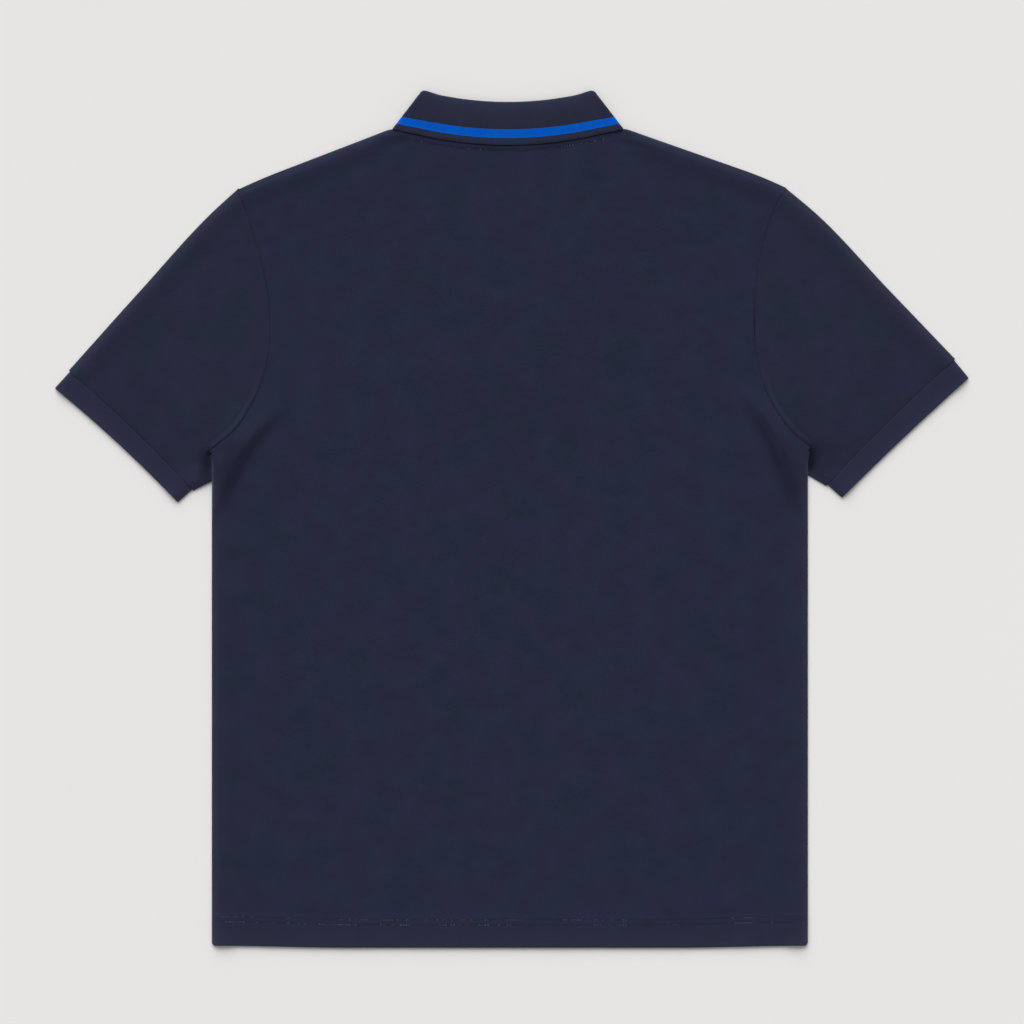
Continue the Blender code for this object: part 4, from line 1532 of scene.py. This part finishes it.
@dataclass
class Tube(Piece):
    """A flattened tube of cloth, open at both ends: a sleeve or its band.

    Attributes:
        side: The side of the shirt it is on.
        band_bow, band_step: How far the band's seam bows towards the body, and how much further in than
            the sleeve's the band's folds are.
        mesh_size: The usual distance between the grid's lines.
        fold_lines, inside: The lines beside a fold, in from it, and where the even ones begin.
        tuck: How far the head end is tucked into the piece that it is sewn to.
    """

    side: Side = LEFT
    band_bow: float = 2.0
    band_step: float = 1.5
    mesh_size: float = 4.0
    fold_lines: tuple[float, ...] = (4.2, 5.4, 6.8, 8.4, 10.4, 12.8)
    inside: float = 15.5
    tuck: float = 2.2

    def bowed(self, start: Array, end: Array, bow: float, share: Array, gap: float = 0.0,
              step: float = 0.0) -> Array:
        """Points on a shallow bow.

        Args:
            start: Its first end.
            end: Its second end.
            bow: How far its middle is moved towards the body.
            share: Where to read it, as shares of its length.
            gap: How far it is moved towards the hand.
            step: How much shorter it is at each end.

        Returns:
            The points, as (reach, Y) rows.
        """
        course = (end - start) / math.dist(start, end)
        hand = np.array((-course[1], course[0]))
        if hand[0] < 0:
            hand = -hand
        share = np.asarray(share, dtype=float)[..., None]
        line = start + course * step + (end - start - 2 * course * step) * share
        return line + hand * (gap - 4 * bow * share * (1 - share))

    def band_seam(self, share: Array, gap: float = 0.0, step: float = 0.0) -> Array:
        """The seam between sleeve and band, from over to under the arm."""
        over, under = np.array(self.side.overarm[-1]), np.array(self.side.underarm[-1])
        return self.bowed(over, under, self.band_bow, share, gap, step)

    def grids(self, head: Callable, foot: Callable, over: Callable, under: Callable, rings: Array,
              thick: float, puffed: float, relief: Callable) -> tuple[Array, Array]:
        """Makes both faces' grids, whose rings run across the back layer and home along the front.

        Args:
            head: The body end's line, by share, from the fold over the arm to the one under it.
            foot: The hand end's line.
            over: The fold over the arm, from head to foot.
            under: The fold under the arm.
            rings: The rings' shares of the way from head to foot.
            thick: The cloth's thickness.
            puffed: How strongly it stands up beside its folds.
            relief: The lift of a face of the back layer over flat points.

        Returns:
            The outer grid and the inner grid.
        """
        shape = self.shape
        ends = [travel_along(line(np.linspace(0.0, 1.0, 65)))[-1] for line in (head, foot)]
        crossings = max(8, round(ends[0] / self.mesh_size))
        middle = thick + shape.layer_gap / 2
        made = []
        for face in Face:
            near = [shape.roll_line(angle, thick, 1.0, face) for angle in shape.roll_turns]
            near += [(distance, 1.0) for distance in self.fold_lines]
            distance, climbed = (np.array(column) for column in zip(*near))
            climbed = np.concatenate([climbed, np.ones(crossings), climbed[::-1]])
            grid = []
            for t in rings:
                width = ends[0] + (ends[1] - ends[0]) * t
                inside = np.linspace(self.inside, width - self.inside, crossings) / width
                q = np.concatenate([distance / width, inside, 1 - distance[::-1] / width])
                flat = ((1 - t) * head(q) + t * foot(q) + np.outer(1 - q, over(t)) + np.outer(q, under(t))
                        - (1 - t) * (np.outer(1 - q, head(0.0)) + np.outer(q, head(1.0)))
                        - t * (np.outer(1 - q, foot(0.0)) + np.outer(q, foot(1.0))))
                stand = puffed * (shape.stand_up(q * width) + shape.stand_up((1 - q) * width))
                full = middle + shape.layer_gap / 2 + stand + relief(flat, Face.INNER)
                full = np.maximum(full, middle + 0.05)
                if face is Face.OUTER:
                    full = full + np.maximum(thick + relief(flat, Face.OUTER), 0.3)
                back = np.column_stack([flat, middle + (full - middle) * climbed])
                below = shape.layer_gap / 2 + (thick if face is Face.OUTER else 0.0)
                front = np.column_stack([flat, middle - below * climbed])
                grid.append(np.concatenate([back, front[-2:0:-1]]))
            made.append(self.tucked(np.array(grid)))
        return made[0], made[1]

    def tucked(self, grid: Array) -> Array:
        """Adds two thin rings at the head end, tucked into the piece that it is sewn to.

        Args:
            grid: The rings, as (reach, Y, Z).

        Returns:
            The longer grid, with its first rings rounded off.
        """
        middle = self.shape.wall + self.shape.layer_gap / 2
        grid = grid.copy()
        course = grid[0, :, :2] - grid[3, :, :2]
        course /= np.maximum(np.hypot(course[:, 0], course[:, 1]), 1e-6)[:, None]
        thin = middle + 0.12 * (grid[0, :, 2] - middle)
        inner_rings = [np.column_stack([grid[0, :, :2] + course * d, thin]) for d in (self.tuck, 0.1)]
        for ring, share in enumerate((0.88, 0.97, 1.0)):
            grid[ring, :, 2] = middle + share * (grid[ring, :, 2] - middle)
        return np.concatenate([np.array(inner_rings), grid])

    def finish(self, outer: Array, inner: Array, painted_light_amount: Array, dent_and_painted_shade: Array) -> None:
        """Makes the tube's mesh, with its knit upright along the fold over the arm.

        Args:
            outer: The outer grid, as (reach, Y, Z).
            inner: The inner grid.
            painted_light_amount: The painted highlight at each point.
            dent_and_painted_shade: The painted shade at each point.
        """
        grain = np.subtract(self.side.overarm[0], self.side.overarm[-1])
        up = grain / np.hypot(*grain)
        across = np.array((up[1], -up[0]))
        cloth = np.stack([outer[..., :2] @ across, outer[..., :2] @ up], axis=-1)
        turn = np.array((self.side.sign, 1.0, 1.0))
        maps = {CLOTH_MAP: cloth, PAINTED_LIGHT_MAP: np.stack([painted_light_amount, dent_and_painted_shade], axis=-1)}
        self.dress(Shell(outer * turn, inner * turn, maps, wrap=True))

    def band_dip(self, flat: Array) -> Array:
        """How far the seam between sleeve and band draws in each (reach, Y) point."""
        ends, _ = distance_to_line(flat[:, 0], flat[:, 1], self.band_seam(np.linspace(0.0, 1.0, 17)))
        return 0.25 * bell(ends, 1.5)

    def fold_wear(self, outer: Array) -> Array:
        """Finds the painted highlight along the folds over and under the arm.

        Args:
            outer: The outer grid.

        Returns:
            The painted highlight at each point, from 0 to 1.
        """
        steps_round = np.linalg.norm(np.diff(outer, axis=1, append=outer[:, :1]), axis=-1)
        travel = np.cumsum(steps_round, axis=1) - steps_round
        half = travel[:, outer.shape[1] // 2][:, None]
        whole = steps_round.sum(axis=1)[:, None]
        away = np.minimum(np.minimum(travel, whole - travel), np.abs(travel - half))
        return self.shape.painted_highlight_at(away)


@dataclass
class Sleeve(Tube):
    """A sleeve, from the armhole to its band.

    Attributes:
        allowance, allowance_lift: The armhole's seam allowance, and how far it raises the sleeve.
        pocket: The width, the Y and the half length of the hollow under the arm.
    """

    allowance: float = 5.5
    allowance_lift: float = 0.9
    pocket: tuple[float, float, float] = (8.0, 50.0, 12.0)

    def head_line(self) -> Array:
        """Lays out the sleeve's end: down the armhole, then beside the body to the lower fold.

        Returns:
            The end's (reach, Y) points.
        """
        side, shape = self.side, self.shape
        y = np.linspace(side.underarm[0][1], side.armhole[0][1], 9)[::-1][1:]
        beside = np.column_stack([shape.side_reach(side, y), y])
        line = np.vstack([side.armhole_line(), beside])
        return line + np.array((shape.seam_show, 0.0))

    def relief(self, flat: Array, face: Face, seam: Array) -> Array:
        """The lift of the back layer over flat points.

        Args:
            flat: The points, as (reach, Y) rows.
            face: The inner face has the folds, and the outer one adds the seams.
            seam: The armhole's line.

        Returns:
            The lift of each point.
        """
        reach, y = flat[:, 0], flat[:, 1]
        beside = np.maximum(reach - self.side.seam_reach, 0.0)
        hollow = bell(beside, self.pocket[0]) * bell(y - self.pocket[1], self.pocket[2])
        if face is Face.INNER:
            return self.side.lift(reach, y) - 4.0 * hollow
        away, where = distance_to_line(reach, y, seam)
        away = np.abs(away)
        strong = smooth((where - 0.64) / 0.1) * smooth((1.0 - where) / 0.03)
        slope = np.clip(away / 1.5, 0.0, 1.0)
        slope = slope * np.clip((self.allowance - away) / (self.allowance - 1.5), 0.0, 1.0)
        lift = strong * (self.allowance_lift * slope - 0.45 * bell(away - self.allowance - 0.3, 1.1))
        lift = lift - self.shape.seam_dip * bell(away, self.shape.seam_dip_width)
        lift = lift - self.band_dip(flat) - 0.8 * hollow
        x = reach * self.side.sign
        return lift + 0.14 * wander(x, y, 21, 60.0) + 0.06 * wander(x, y, 22, 22.0)

    def build(self) -> None:
        """Makes the sleeve."""
        head = self.head_line()
        over = (tuple(head[0]),) + self.side.overarm[1:]
        under = (tuple(head[-1]),) + self.side.underarm[1:]
        seam = self.side.armhole_line()
        rings = np.array([0.0, 0.002, 0.005, 0.009, 0.014, 0.02, 0.027, 0.036, 0.044,
                          *steps(0.055, 0.95, 0.018), 0.95, 0.965, 0.978, 0.986, 0.992, 0.997, 1.0])
        outer, inner = self.grids(
            head=lambda share: along(head, share), foot=self.band_seam,
            over=lambda share: path(over, share), under=lambda share: path(under, share),
            rings=rings, thick=self.shape.wall, puffed=1.0,
            relief=lambda flat, face: self.relief(flat, face, seam))
        # painted shade on the sleeve's upper layer, from its shade folds
        dent_and_painted_shade = painted_shade_from(self.side.sleeve_shade, outer[..., 0], outer[..., 1])
        dent_and_painted_shade = np.where(outer[..., 2] > self.shape.wall, dent_and_painted_shade, 0.0)
        self.finish(outer, inner, self.fold_wear(outer), dent_and_painted_shade)


@dataclass
class SleeveBand(Tube):
    """The ribbed band round a sleeve's opening.

    Attributes:
        thick, puffed: The knit's thickness, and how strongly it stands up beside its folds.
    """

    thick: float = 1.6
    puffed: float = 0.6
    mesh_size: float = 3.0

    def relief(self, flat: Array, face: Face) -> Array:
        """The lift of the back layer: the dip at its seam and the band's own unevenness."""
        uneven = 0.12 * wander(flat[:, 0], flat[:, 1], 31, 30.0) - self.band_dip(flat) - 0.1
        return np.zeros(len(flat)) if face is Face.INNER else uneven

    def build(self) -> None:
        """Makes the band."""
        corners = [np.array(corner) for corner in self.side.opening]
        gap = self.shape.seam_gap
        seam_ends = [self.band_seam(end, gap, self.band_step) for end in (0.0, 1.0)]
        rings = np.array([0.0, 0.02, 0.05, 0.09, 0.15, *steps(0.24, 0.86, 0.12),
                          0.86, 0.92, 0.96, 0.985, 1.0])
        outer, inner = self.grids(
            head=lambda share: self.band_seam(share, gap, self.band_step),
            foot=lambda share: self.bowed(corners[0], corners[1], self.side.opening_bow, share),
            over=lambda share: seam_ends[0] + (corners[0] - seam_ends[0]) * share,
            under=lambda share: seam_ends[1] + (corners[1] - seam_ends[1]) * share,
            rings=rings, thick=self.thick, puffed=self.puffed, relief=self.relief)
        middle = (outer + inner) / 2
        for ring, share in ((-1, 0.25), (-2, 0.66), (-3, 0.9)):
            outer[ring] = middle[ring] + share * (outer[ring] - middle[ring])
            inner[ring] = middle[ring] + share * (inner[ring] - middle[ring])
        opening = np.linalg.norm(outer - outer[-1:], axis=-1)
        # painted highlight along the band's folds and its opening
        painted_light_amount = np.maximum(self.fold_wear(outer), 1.2 * self.shape.painted_highlight_at(opening))
        self.finish(outer, inner, painted_light_amount, np.zeros_like(painted_light_amount))


@dataclass
class Collar(Piece):
    """The flat-knit collar: stand and leaf in one, folded at the roll line and round the sides of the neck.

    Attributes:
        wall: The knit's thickness.
        roll_y, roll_bow: The roll line at the centre of the back, and how it rises to the sides.
        leaf_y, leaf_bow: The same for the leaf's edge.
        middle: The height of the plane between the collar's back and front halves.
        stand_level, leaf_level: From that plane to the middle of the stand's thickness and of the leaf's.
        roll_fold, leaf_fold, stand_fold: The side fold's ends, and where the stand's seam turns.
        roll_front, leaf_front: The pull and the end of the front's roll line and of its edge.
        swell, swell_share: How far the leaf swells up past its roll, and how far down it reaches that.
        edge_highlight_width: How wide the painted highlight along the leaf's edge, below the stripe, is.
        back_count, front_count: The grid's steps along each half of the back and along each front.
    """

    wall: float = 1.6
    roll_y: float = 385.1
    roll_bow: float = 0.0016
    leaf_y: float = 345.2
    leaf_bow: float = 0.0014
    middle: float = 4.6
    stand_level: float = 1.7
    leaf_level: float = 3.5
    roll_fold: Point = (76.2, 395.5)
    leaf_fold: Point = (104.0, 359.4)
    stand_fold: Point = (95.8, 361.9)
    roll_front: tuple[Point, Point] = ((63.0, 322.0), (3.2, 304.0))
    leaf_front: tuple[Point, Point] = ((99.0, 300.0), (50.0, 242.0))
    swell: float = 1.0
    swell_share: float = 0.28
    edge_highlight_width: float = 7.0
    back_count: int = 36
    front_count: int = 44

    def back_station(self, share: float) -> tuple[Array, Array, Array]:
        """Finds the roll line, the leaf's edge and the stand's seam at a place along the back.

        Args:
            share: 0 at the centre and 1 at the side fold.

        Returns:
            The three points, as (off the centre line, Y).
        """
        shape = self.shape
        seam_y = shape.neck_point_y - shape.back_neck_drop
        seam_bow = shape.back_neck_drop / shape.neck_point_off ** 2
        points = []
        for fold, middle_y, bow in ((self.roll_fold, self.roll_y, self.roll_bow),
                                    (self.leaf_fold, self.leaf_y, self.leaf_bow),
                                    (self.stand_fold, seam_y, seam_bow)):
            off = share * fold[0]
            end_shift = fold[1] - middle_y - bow * fold[0] ** 2
            points.append(np.array((off, middle_y + bow * off ** 2 + end_shift * smooth(share * 5.0 - 4.0))))
        return points[0], points[1], points[2]

    def front_station(self, share: float) -> tuple[Array, Array, Array]:
        """Finds the same three points at a place along the front.

        Args:
            share: 0 at the side fold and 1 at the centre front.

        Returns:
            The three points, as (off the centre line, Y).
        """
        shape = self.shape
        turn = math.acos(self.roll_front[1][0] / shape.neck_point_off) * share
        off = shape.neck_point_off * math.cos(turn)
        early = 1 - smooth(share / 0.12)
        gap = 1.5 * shape.seam_gap
        edge = float(shape.top_y(np.array(shape.neck_x + off), Layer.FRONT)) - shape.seam_gap
        past = self.stand_fold[1] - shape.neck_point_y + shape.seam_gap
        stand = np.array((off - gap * math.cos(turn) - (shape.neck_point_off - self.stand_fold[0]) * early,
                          edge + gap * math.sin(turn) + past * early))
        roll = quadratic(self.roll_fold, *self.roll_front, share)
        leaf = quadratic(self.leaf_fold, *self.leaf_front, share)
        return roll, leaf, stand

    def section(self, face: Face) -> list[tuple[str, float, float, float]]:
        """Lays out one face of the section, from the stand's seam over the roll to the leaf's edge.

        Args:
            face: The outer face, which is the leaf's upper one, or the inner one.

        Returns:
            Each point's part, its distance from the crest or share of the part, its level, and how much of
            that is the leaf's soft swell.
        """
        centre = (self.stand_level + self.leaf_level) / 2
        half_wall = self.wall / 2
        crest = centre - self.stand_level + half_wall
        radius = crest if face is Face.OUTER else crest - self.wall
        away = half_wall if face is Face.OUTER else -half_wall
        points = [("stand", share, self.stand_level - away, 0.0)
                  for share in (1.0, 0.9, 0.75, 0.6, 0.45, 0.3, 0.15, 0.04)]
        for angle in range(-90, 91, 15):
            turn = math.radians(angle)
            part = "stand roll" if angle < 0 else "leaf roll"
            points.append((part, crest - radius * math.cos(turn), centre + radius * math.sin(turn), 0.0))
        for share in (0.03, 0.08, 0.15, 0.23, 0.31, 0.4, 0.5, 0.6, 0.7, 0.78, 0.86, 0.92, 0.96, 0.985, 1.0):
            thin = 0.3 + 0.7 * smooth((1.0 - share) / 0.035)
            soft = self.swell * smooth(share / self.swell_share) * smooth((1.0 - share) / 0.5)
            points.append(("leaf", share, self.leaf_level + away * thin + soft, soft))
        return points

    def ring(self, station: tuple, sign: float, turn: float, face: Face) -> tuple[list, list]:
        """Places the section at one station.

        Args:
            station: The station's three points.
            sign: The sign of X on this side of the collar.
            turn: Degrees round the side fold, 0 on the back and 180 on the front.
            face: The collar's outer or inner face.

        Returns:
            The ring's points, and for each its distance up from the leaf's edge.
        """
        roll, leaf, stand = station
        fold = np.subtract(self.leaf_fold, self.roll_fold)
        lean = -fold[1] / np.hypot(*fold)
        crest = (self.leaf_level - self.stand_level) / 2 + self.wall / 2
        back = math.cos(math.radians(turn))
        points, ups = [], []
        for part, value, level, soft in self.section(face):
            target = stand if part.startswith("stand") else leaf
            length = math.dist(target, roll)
            distance = value if part.endswith("roll") else crest + (length - crest) * value
            place = roll + (target - roll) * (distance / length)
            level -= soft * (1.0 - back * back)
            place = place + np.array((lean * level * math.sin(math.radians(turn)), 0.0))
            if back < 0:
                level = min(level, self.middle)
            points.append((self.shape.neck_x + sign * place[0], place[1], self.middle + level * back))
            ups.append(math.dist(leaf, roll) + (-distance if target is leaf else distance))
        return points, ups

    def build(self) -> None:
        """Makes the collar."""
        half = [(self.back_station(k / self.back_count), 0.0) for k in range(self.back_count + 1)]
        half += [(self.back_station(1.0), float(turn)) for turn in range(15, 180, 15)]
        half += [(self.front_station(k / self.front_count), 180.0) for k in range(self.front_count + 1)]
        stations = [(station, -1.0, turn) for station, turn in reversed(half)]
        stations += [(station, 1.0, turn) for station, turn in half[1:]]
        faces, ups = [], []
        for face in Face:
            rings = [self.ring(*station, face) for station in stations]
            faces.append(np.array([points for points, _ in rings]))
            ups.append(np.array([up for _, up in rings]))
        outer, inner = faces
        crest = outer[:, outer.shape[1] // 2]
        cloth = np.stack([np.tile(travel_along(crest)[:, None], (1, outer.shape[1])), ups[0]], axis=-1)
        # painted highlight: lighter near the collar's crest and along the leaf's edge below the stripe
        painted_light_amount = self.shape.painted_highlight_at(1.6 * np.linalg.norm(outer - crest[:, None], axis=-1))
        painted_light_amount = np.maximum(painted_light_amount, 0.27 * smooth((self.edge_highlight_width - ups[0]) / 1.5))
        maps = {CLOTH_MAP: cloth, PAINTED_LIGHT_MAP: np.stack([painted_light_amount, np.zeros_like(painted_light_amount)], axis=-1)}
        self.dress(Shell(outer, inner, maps))


@dataclass
class PlacketStrip(Piece):
    """One strip of the placket, lying along the slot and following the front panel.

    Attributes:
        half_width, foot: Half its width, and the Y of its lower end.
        lift: How far above the front's outer face it lies.
        row_inset: How far in from its edge it is stitched.
        edge: The grid's lines nearest an edge, in from it.
    """

    half_width: float = 17.0
    foot: float = 127.3
    lift: float = 0.0
    row_inset: float = 2.0
    edge: tuple[float, ...] = (0.0, 0.35, 0.9, 1.5, 2.0, 2.5, 3.2, 4.5)

    def build(self) -> None:
        """Makes the strip."""
        shape, half = self.shape, self.half_width
        offs = np.array([*(-half + d for d in self.edge), *steps(-half + 6.5, half - 6.5, 2.0), half - 6.5,
                         *(half - d for d in reversed(self.edge))])
        shares = np.linspace(0.0, 1.0, 62)
        shares = np.unique(np.concatenate([shares, [0.0025, 0.006, 0.011, 0.994, 0.9975]]))[:, None]
        x = shape.neck_x + np.tile(offs, (len(shares), 1))
        top = shape.top_y(x, Layer.FRONT) - 2 * shape.seam_gap
        y = self.foot + shares * (top - self.foot)
        low = shape.front_under(x, y) + self.lift
        inset = half - np.abs(x - shape.neck_x)
        round_off = 0.35 * (1 - smooth(np.minimum(inset, y - self.foot) / 1.0))
        stitched = 0.12 * bell(inset - self.row_inset, 0.6)
        outer = np.stack([x, y, low + round_off + stitched], axis=-1)
        inner = np.stack([x, y, low + shape.wall - round_off], axis=-1)
        self.dress(Shell(outer, inner, {CLOTH_MAP: outer[..., :2]}))


@dataclass
class Stitches:
    """Rows of stitches as one mesh of small rounded threads.

    Attributes:
        name: The object's name.
        slot, material: The record's material slot, which is not used, and the thread's finish.
        pitch, length: From one stitch to the next, and how much of its thread shows.
        radius, sides: The thread's radius, and how many sides it has.
        lean: How unevenly the stitches lean.
        lines: The rows' points, and for each row which way it faces.
    """

    name: str
    slot: str
    material: Material
    pitch: float = STITCH_PITCH
    length: float = 0.95
    radius: float = 0.42
    sides: int = 6
    lean: float = 0.035
    lines: list[tuple[Array, float]] = field(default_factory=list)

    def sew(self, line: Array, up: float = 1.0) -> None:
        """Adds a row along a line of points; up is 1 on an upper face and -1 on one that faces the table."""
        self.lines.append((line, up))

    def template(self) -> tuple[Array, Array]:
        """Shapes one stitch along X about its middle.

        Returns:
            Its points and its four-sided faces.
        """
        profile = ((-0.5, 0.12, -0.9), (-0.42, 0.75, -0.35), (-0.2, 1.0, 0.0), (0.2, 1.0, 0.0),
                   (0.42, 0.75, -0.35), (0.5, 0.12, -0.9))
        points = []
        for place, size, sink in profile:
            for k in range(self.sides):
                turn = math.tau * k / self.sides
                points.append((place * self.length, math.cos(turn) * size * self.radius,
                               (math.sin(turn) * size * 0.8 + sink) * self.radius))
        faces = []
        for k in range(len(points) - self.sides):
            beside = k + 1 if (k + 1) % self.sides else k + 1 - self.sides
            faces.append((k, beside, beside + self.sides, k + self.sides))
        return np.array(points), np.array(faces)

    def build(self) -> None:
        """Makes the rows."""
        template, template_faces = self.template()
        points, faces = [], []
        dice = np.random.default_rng(len(self.name))
        for line, up in self.lines:
            travel = travel_along(line)
            for place in np.arange(self.pitch / 2, travel[-1], self.pitch):
                start, end = (np.array([np.interp(place + d, travel, line[:, k]) for k in range(3)])
                              for d in (-0.8, 0.8))
                course = end - start
                course /= np.linalg.norm(course)
                across = np.cross((0.0, 0.0, up), course)
                across /= np.linalg.norm(across)
                rise = np.cross(course, across)
                turn = dice.normal(0.0, self.lean)
                course, across = course + across * turn, across - course * turn
                faces.append(template_faces + len(points) * len(template))
                points.append((start + end) / 2 + template @ np.array([course, across, rise]))
        piece = mesh_object(self.name, np.concatenate(points) * MM, np.concatenate(faces))
        piece.data.materials.append(self.material)
        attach(piece, "root")
        log.info("%s: %d stitches", self.name, len(points))


@dataclass
class Shirt:
    """The whole shirt: its pieces in the order they lie, and its stitches.

    Attributes:
        shape: The shirt's shared sizes.
        button_rows: The Y of each button, from the collar down.
        row_proud: How far the thread stands out of the cloth in the hem's two rows and in the neck's one.
    """

    shape: ShirtShape = SHAPE
    button_rows: tuple[float, ...] = (261.0, 213.0, 165.0)
    row_proud: tuple[float, ...] = (0.16, -0.04, -0.08)

    def build(self) -> None:
        """Makes every piece and its stitches."""
        pique = PiqueFinish().material()
        sleeve_pique = PiqueFinish(name="navy sleeve pique", colour=(0.0145, 0.0174, 0.0376, 1.0)).material()
        knit = RibFinish(colour=(0.0163, 0.0184, 0.0388, 1.0), wear=0.32).material()
        striped = RibFinish(name="navy flat knit with a stripe", colour=(0.0170, 0.0204, 0.0396, 1.0),
                            stripe=(0.0, 0.0830, 0.4620, 1.0), stripe_from=6.5, stripe_to=14.5, wear=0.60,
                            sheen=0.04).material()
        thread = ThreadFinish().material()
        front = Panel("front_panel", "pique", pique, flat=(0.561, 0.758), area=0.371, layer=Layer.FRONT)
        back = Panel("back_panel", "pique", pique, flat=(0.561, 0.758), area=0.387,
                     rests_on=("front_panel_cloth",), layer=Layer.BACK)
        pieces = [front, back]
        for side in SIDES:
            pieces += [Sleeve(f"sleeve_{side.name}", "pique", sleeve_pique, flat=(0.54, 0.245), area=0.0545,
                              held=Held.FOLDED, side=side),
                       SleeveBand(f"sleeve_band_{side.name}", "flat_knit", knit, flat=side.band_cut,
                                  held=Held.FOLDED, side=side)]
        pieces += [Collar("collar", "flat_knit", striped, flat=(0.455, 0.095), area=0.0369, held=Held.FOLDED,
                          rests_on=("back_panel_cloth",)),
                   PlacketStrip("placket_upper", "pique", pique, flat=(0.034, 0.150)),
                   PlacketStrip("placket_under", "pique", pique, flat=(0.032, 0.147),
                                rests_on=("placket_upper_cloth",), half_width=16.0, foot=130.0, lift=1.6)]
        for piece in pieces:
            piece.build()
        self.sew(back, front, thread)
        self.finish_buttons(thread)

    def sew(self, back: Panel, front: Panel, thread: Material) -> None:
        """Sews the rows of stitches that show.

        Args:
            back: The back panel.
            front: The front panel.
            thread: The thread's finish.
        """
        for panel, up in ((back, 1.0), (front, -1.0)):
            hem = Stitches(f"hem_stitches_{panel.layer.value}", "pique", thread)
            neck = Stitches("neck_stitches", "pique", thread)
            for number, line in enumerate(panel.row_lines()):
                z = panel.height(line[:, 0], line[:, 1], Face.OUTER) + self.row_proud[number] * up
                (hem if number < 2 else neck).sew(np.column_stack([line, z]), up)
            hem.build()
            if neck.lines:
                neck.build()
        placket = Stitches("placket_stitches", "pique", thread, length=1.9, radius=0.24)
        shape = self.shape
        side, foot = shape.placket_half - 2.0, shape.placket_foot_y + shape.seam_gap + 2.0
        up = np.arange(foot, 274.0, 1.0)
        across = np.arange(shape.neck_x - side + 0.5, shape.neck_x + side, 1.0)
        rows = [(np.full_like(up, shape.neck_x + sign * side), up) for sign in (-1.0, 1.0)]
        rows += [(across, np.full_like(across, foot + above)) for above in (0.0, 22.0)]
        for x, y in rows:
            placket.sew(np.column_stack([x, y, shape.front_under(x, y) + 0.10]), -1.0)
        placket.build()

    def finish_buttons(self, thread: Material) -> None:
        """Gives the buttons their resin and the thread that holds them.

        Args:
            thread: The thread's finish.
        """
        resin = ResinFinish().material()
        for number, y in enumerate(self.button_rows, start=1):
            node = bpy.data.objects[f"button_{number}"]
            for index in range(len(node.data.materials)):
                node.data.materials[index] = resin
            cross = Stitches(f"button_thread_{number}", "button_resin", thread, pitch=4.0, length=3.6)
            middle = np.array((self.shape.neck_x, y, 0.55))
            for sign in (-1.0, 1.0):
                arm = math.sqrt(2.0) * np.array((1.0, sign, 0.0))
                cross.sew(np.array([middle - arm, middle + arm]), -1.0)
            cross.build()


@dataclass(frozen=True)
class SoftLight:
    """A large soft light: where it comes from, how strong it is and how wide, in degrees."""

    name: str
    towards: tuple[float, float, float]
    strength: float
    spread: float

    def build(self) -> None:
        """Makes the light."""
        lamp = bpy.data.lights.new(self.name, "SUN")
        lamp.energy = self.strength
        lamp.angle = math.radians(self.spread)
        light = bpy.data.objects.new(self.name, lamp)
        light.rotation_euler = Vector(self.towards).to_track_quat("Z", "Y").to_euler()
        bpy.context.scene.collection.objects.link(light)


@dataclass
class Studio:
    """The pale floor, the soft light and the camera straight above.

    Attributes:
        camera_place, seen_width: Where the camera is, and how much floor it sees across, in metres.
        sensor: The camera's sensor width, in millimetres.
        lights, fill_strength: The soft lights, and the strength of the light from all round.
    """

    camera_place: tuple[float, float, float] = (0.00023, 0.00670, 6.0)
    seen_width: float = 0.9458
    sensor: float = 36.0
    lights: tuple[SoftLight, ...] = (SoftLight("soft_key", (-0.16, 0.95, 0.82), 3.1, 60.0),
                                     SoftLight("soft_overhead", (-0.1, 0.2, 1.0), 0.5, 100.0))
    fill_strength: float = 0.29

    def build(self) -> None:
        """Makes the floor, the lights and the camera."""
        self.floor()
        self.light()
        self.camera()

    def floor(self) -> None:
        """Makes the sheet of pale paper that the shirt lies on."""
        half, low = 8.0, -0.0002
        points = np.array([(-half, -half, low), (half, -half, low), (half, half, low), (-half, half, low)])
        paper = mesh_object("paper_floor", points, np.array([(0, 1, 2, 3)]))
        paper.data.materials.append(PaperFinish().material())

    def light(self) -> None:
        """Makes the soft lights and the even light from all round."""
        for light in self.lights:
            light.build()
        world = bpy.data.worlds.new("studio")
        world.use_nodes = True
        backdrop = world.node_tree.nodes["Background"]
        backdrop.inputs["Color"].default_value = (1.0, 0.995, 0.99, 1.0)
        backdrop.inputs["Strength"].default_value = self.fill_strength
        bpy.context.scene.world = world
        bpy.context.scene.view_settings.view_transform = "Standard"

    def camera(self) -> None:
        """Makes the camera, which looks straight down with the hem at the picture's foot."""
        lens = bpy.data.cameras.new("camera")
        lens.sensor_width = self.sensor
        lens.lens = self.sensor * self.camera_place[2] / self.seen_width
        lens.clip_end = 50.0
        camera = bpy.data.objects.new("camera", lens)
        camera.location = self.camera_place
        bpy.context.scene.collection.objects.link(camera)
        bpy.context.scene.camera = camera


def main() -> None:
    """Builds the shirt and the studio."""
    logging.basicConfig(level=logging.INFO, format="%(name)s: %(message)s")
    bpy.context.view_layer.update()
    Shirt().build()
    Studio().build()


if __name__ == "__main__":
    main()
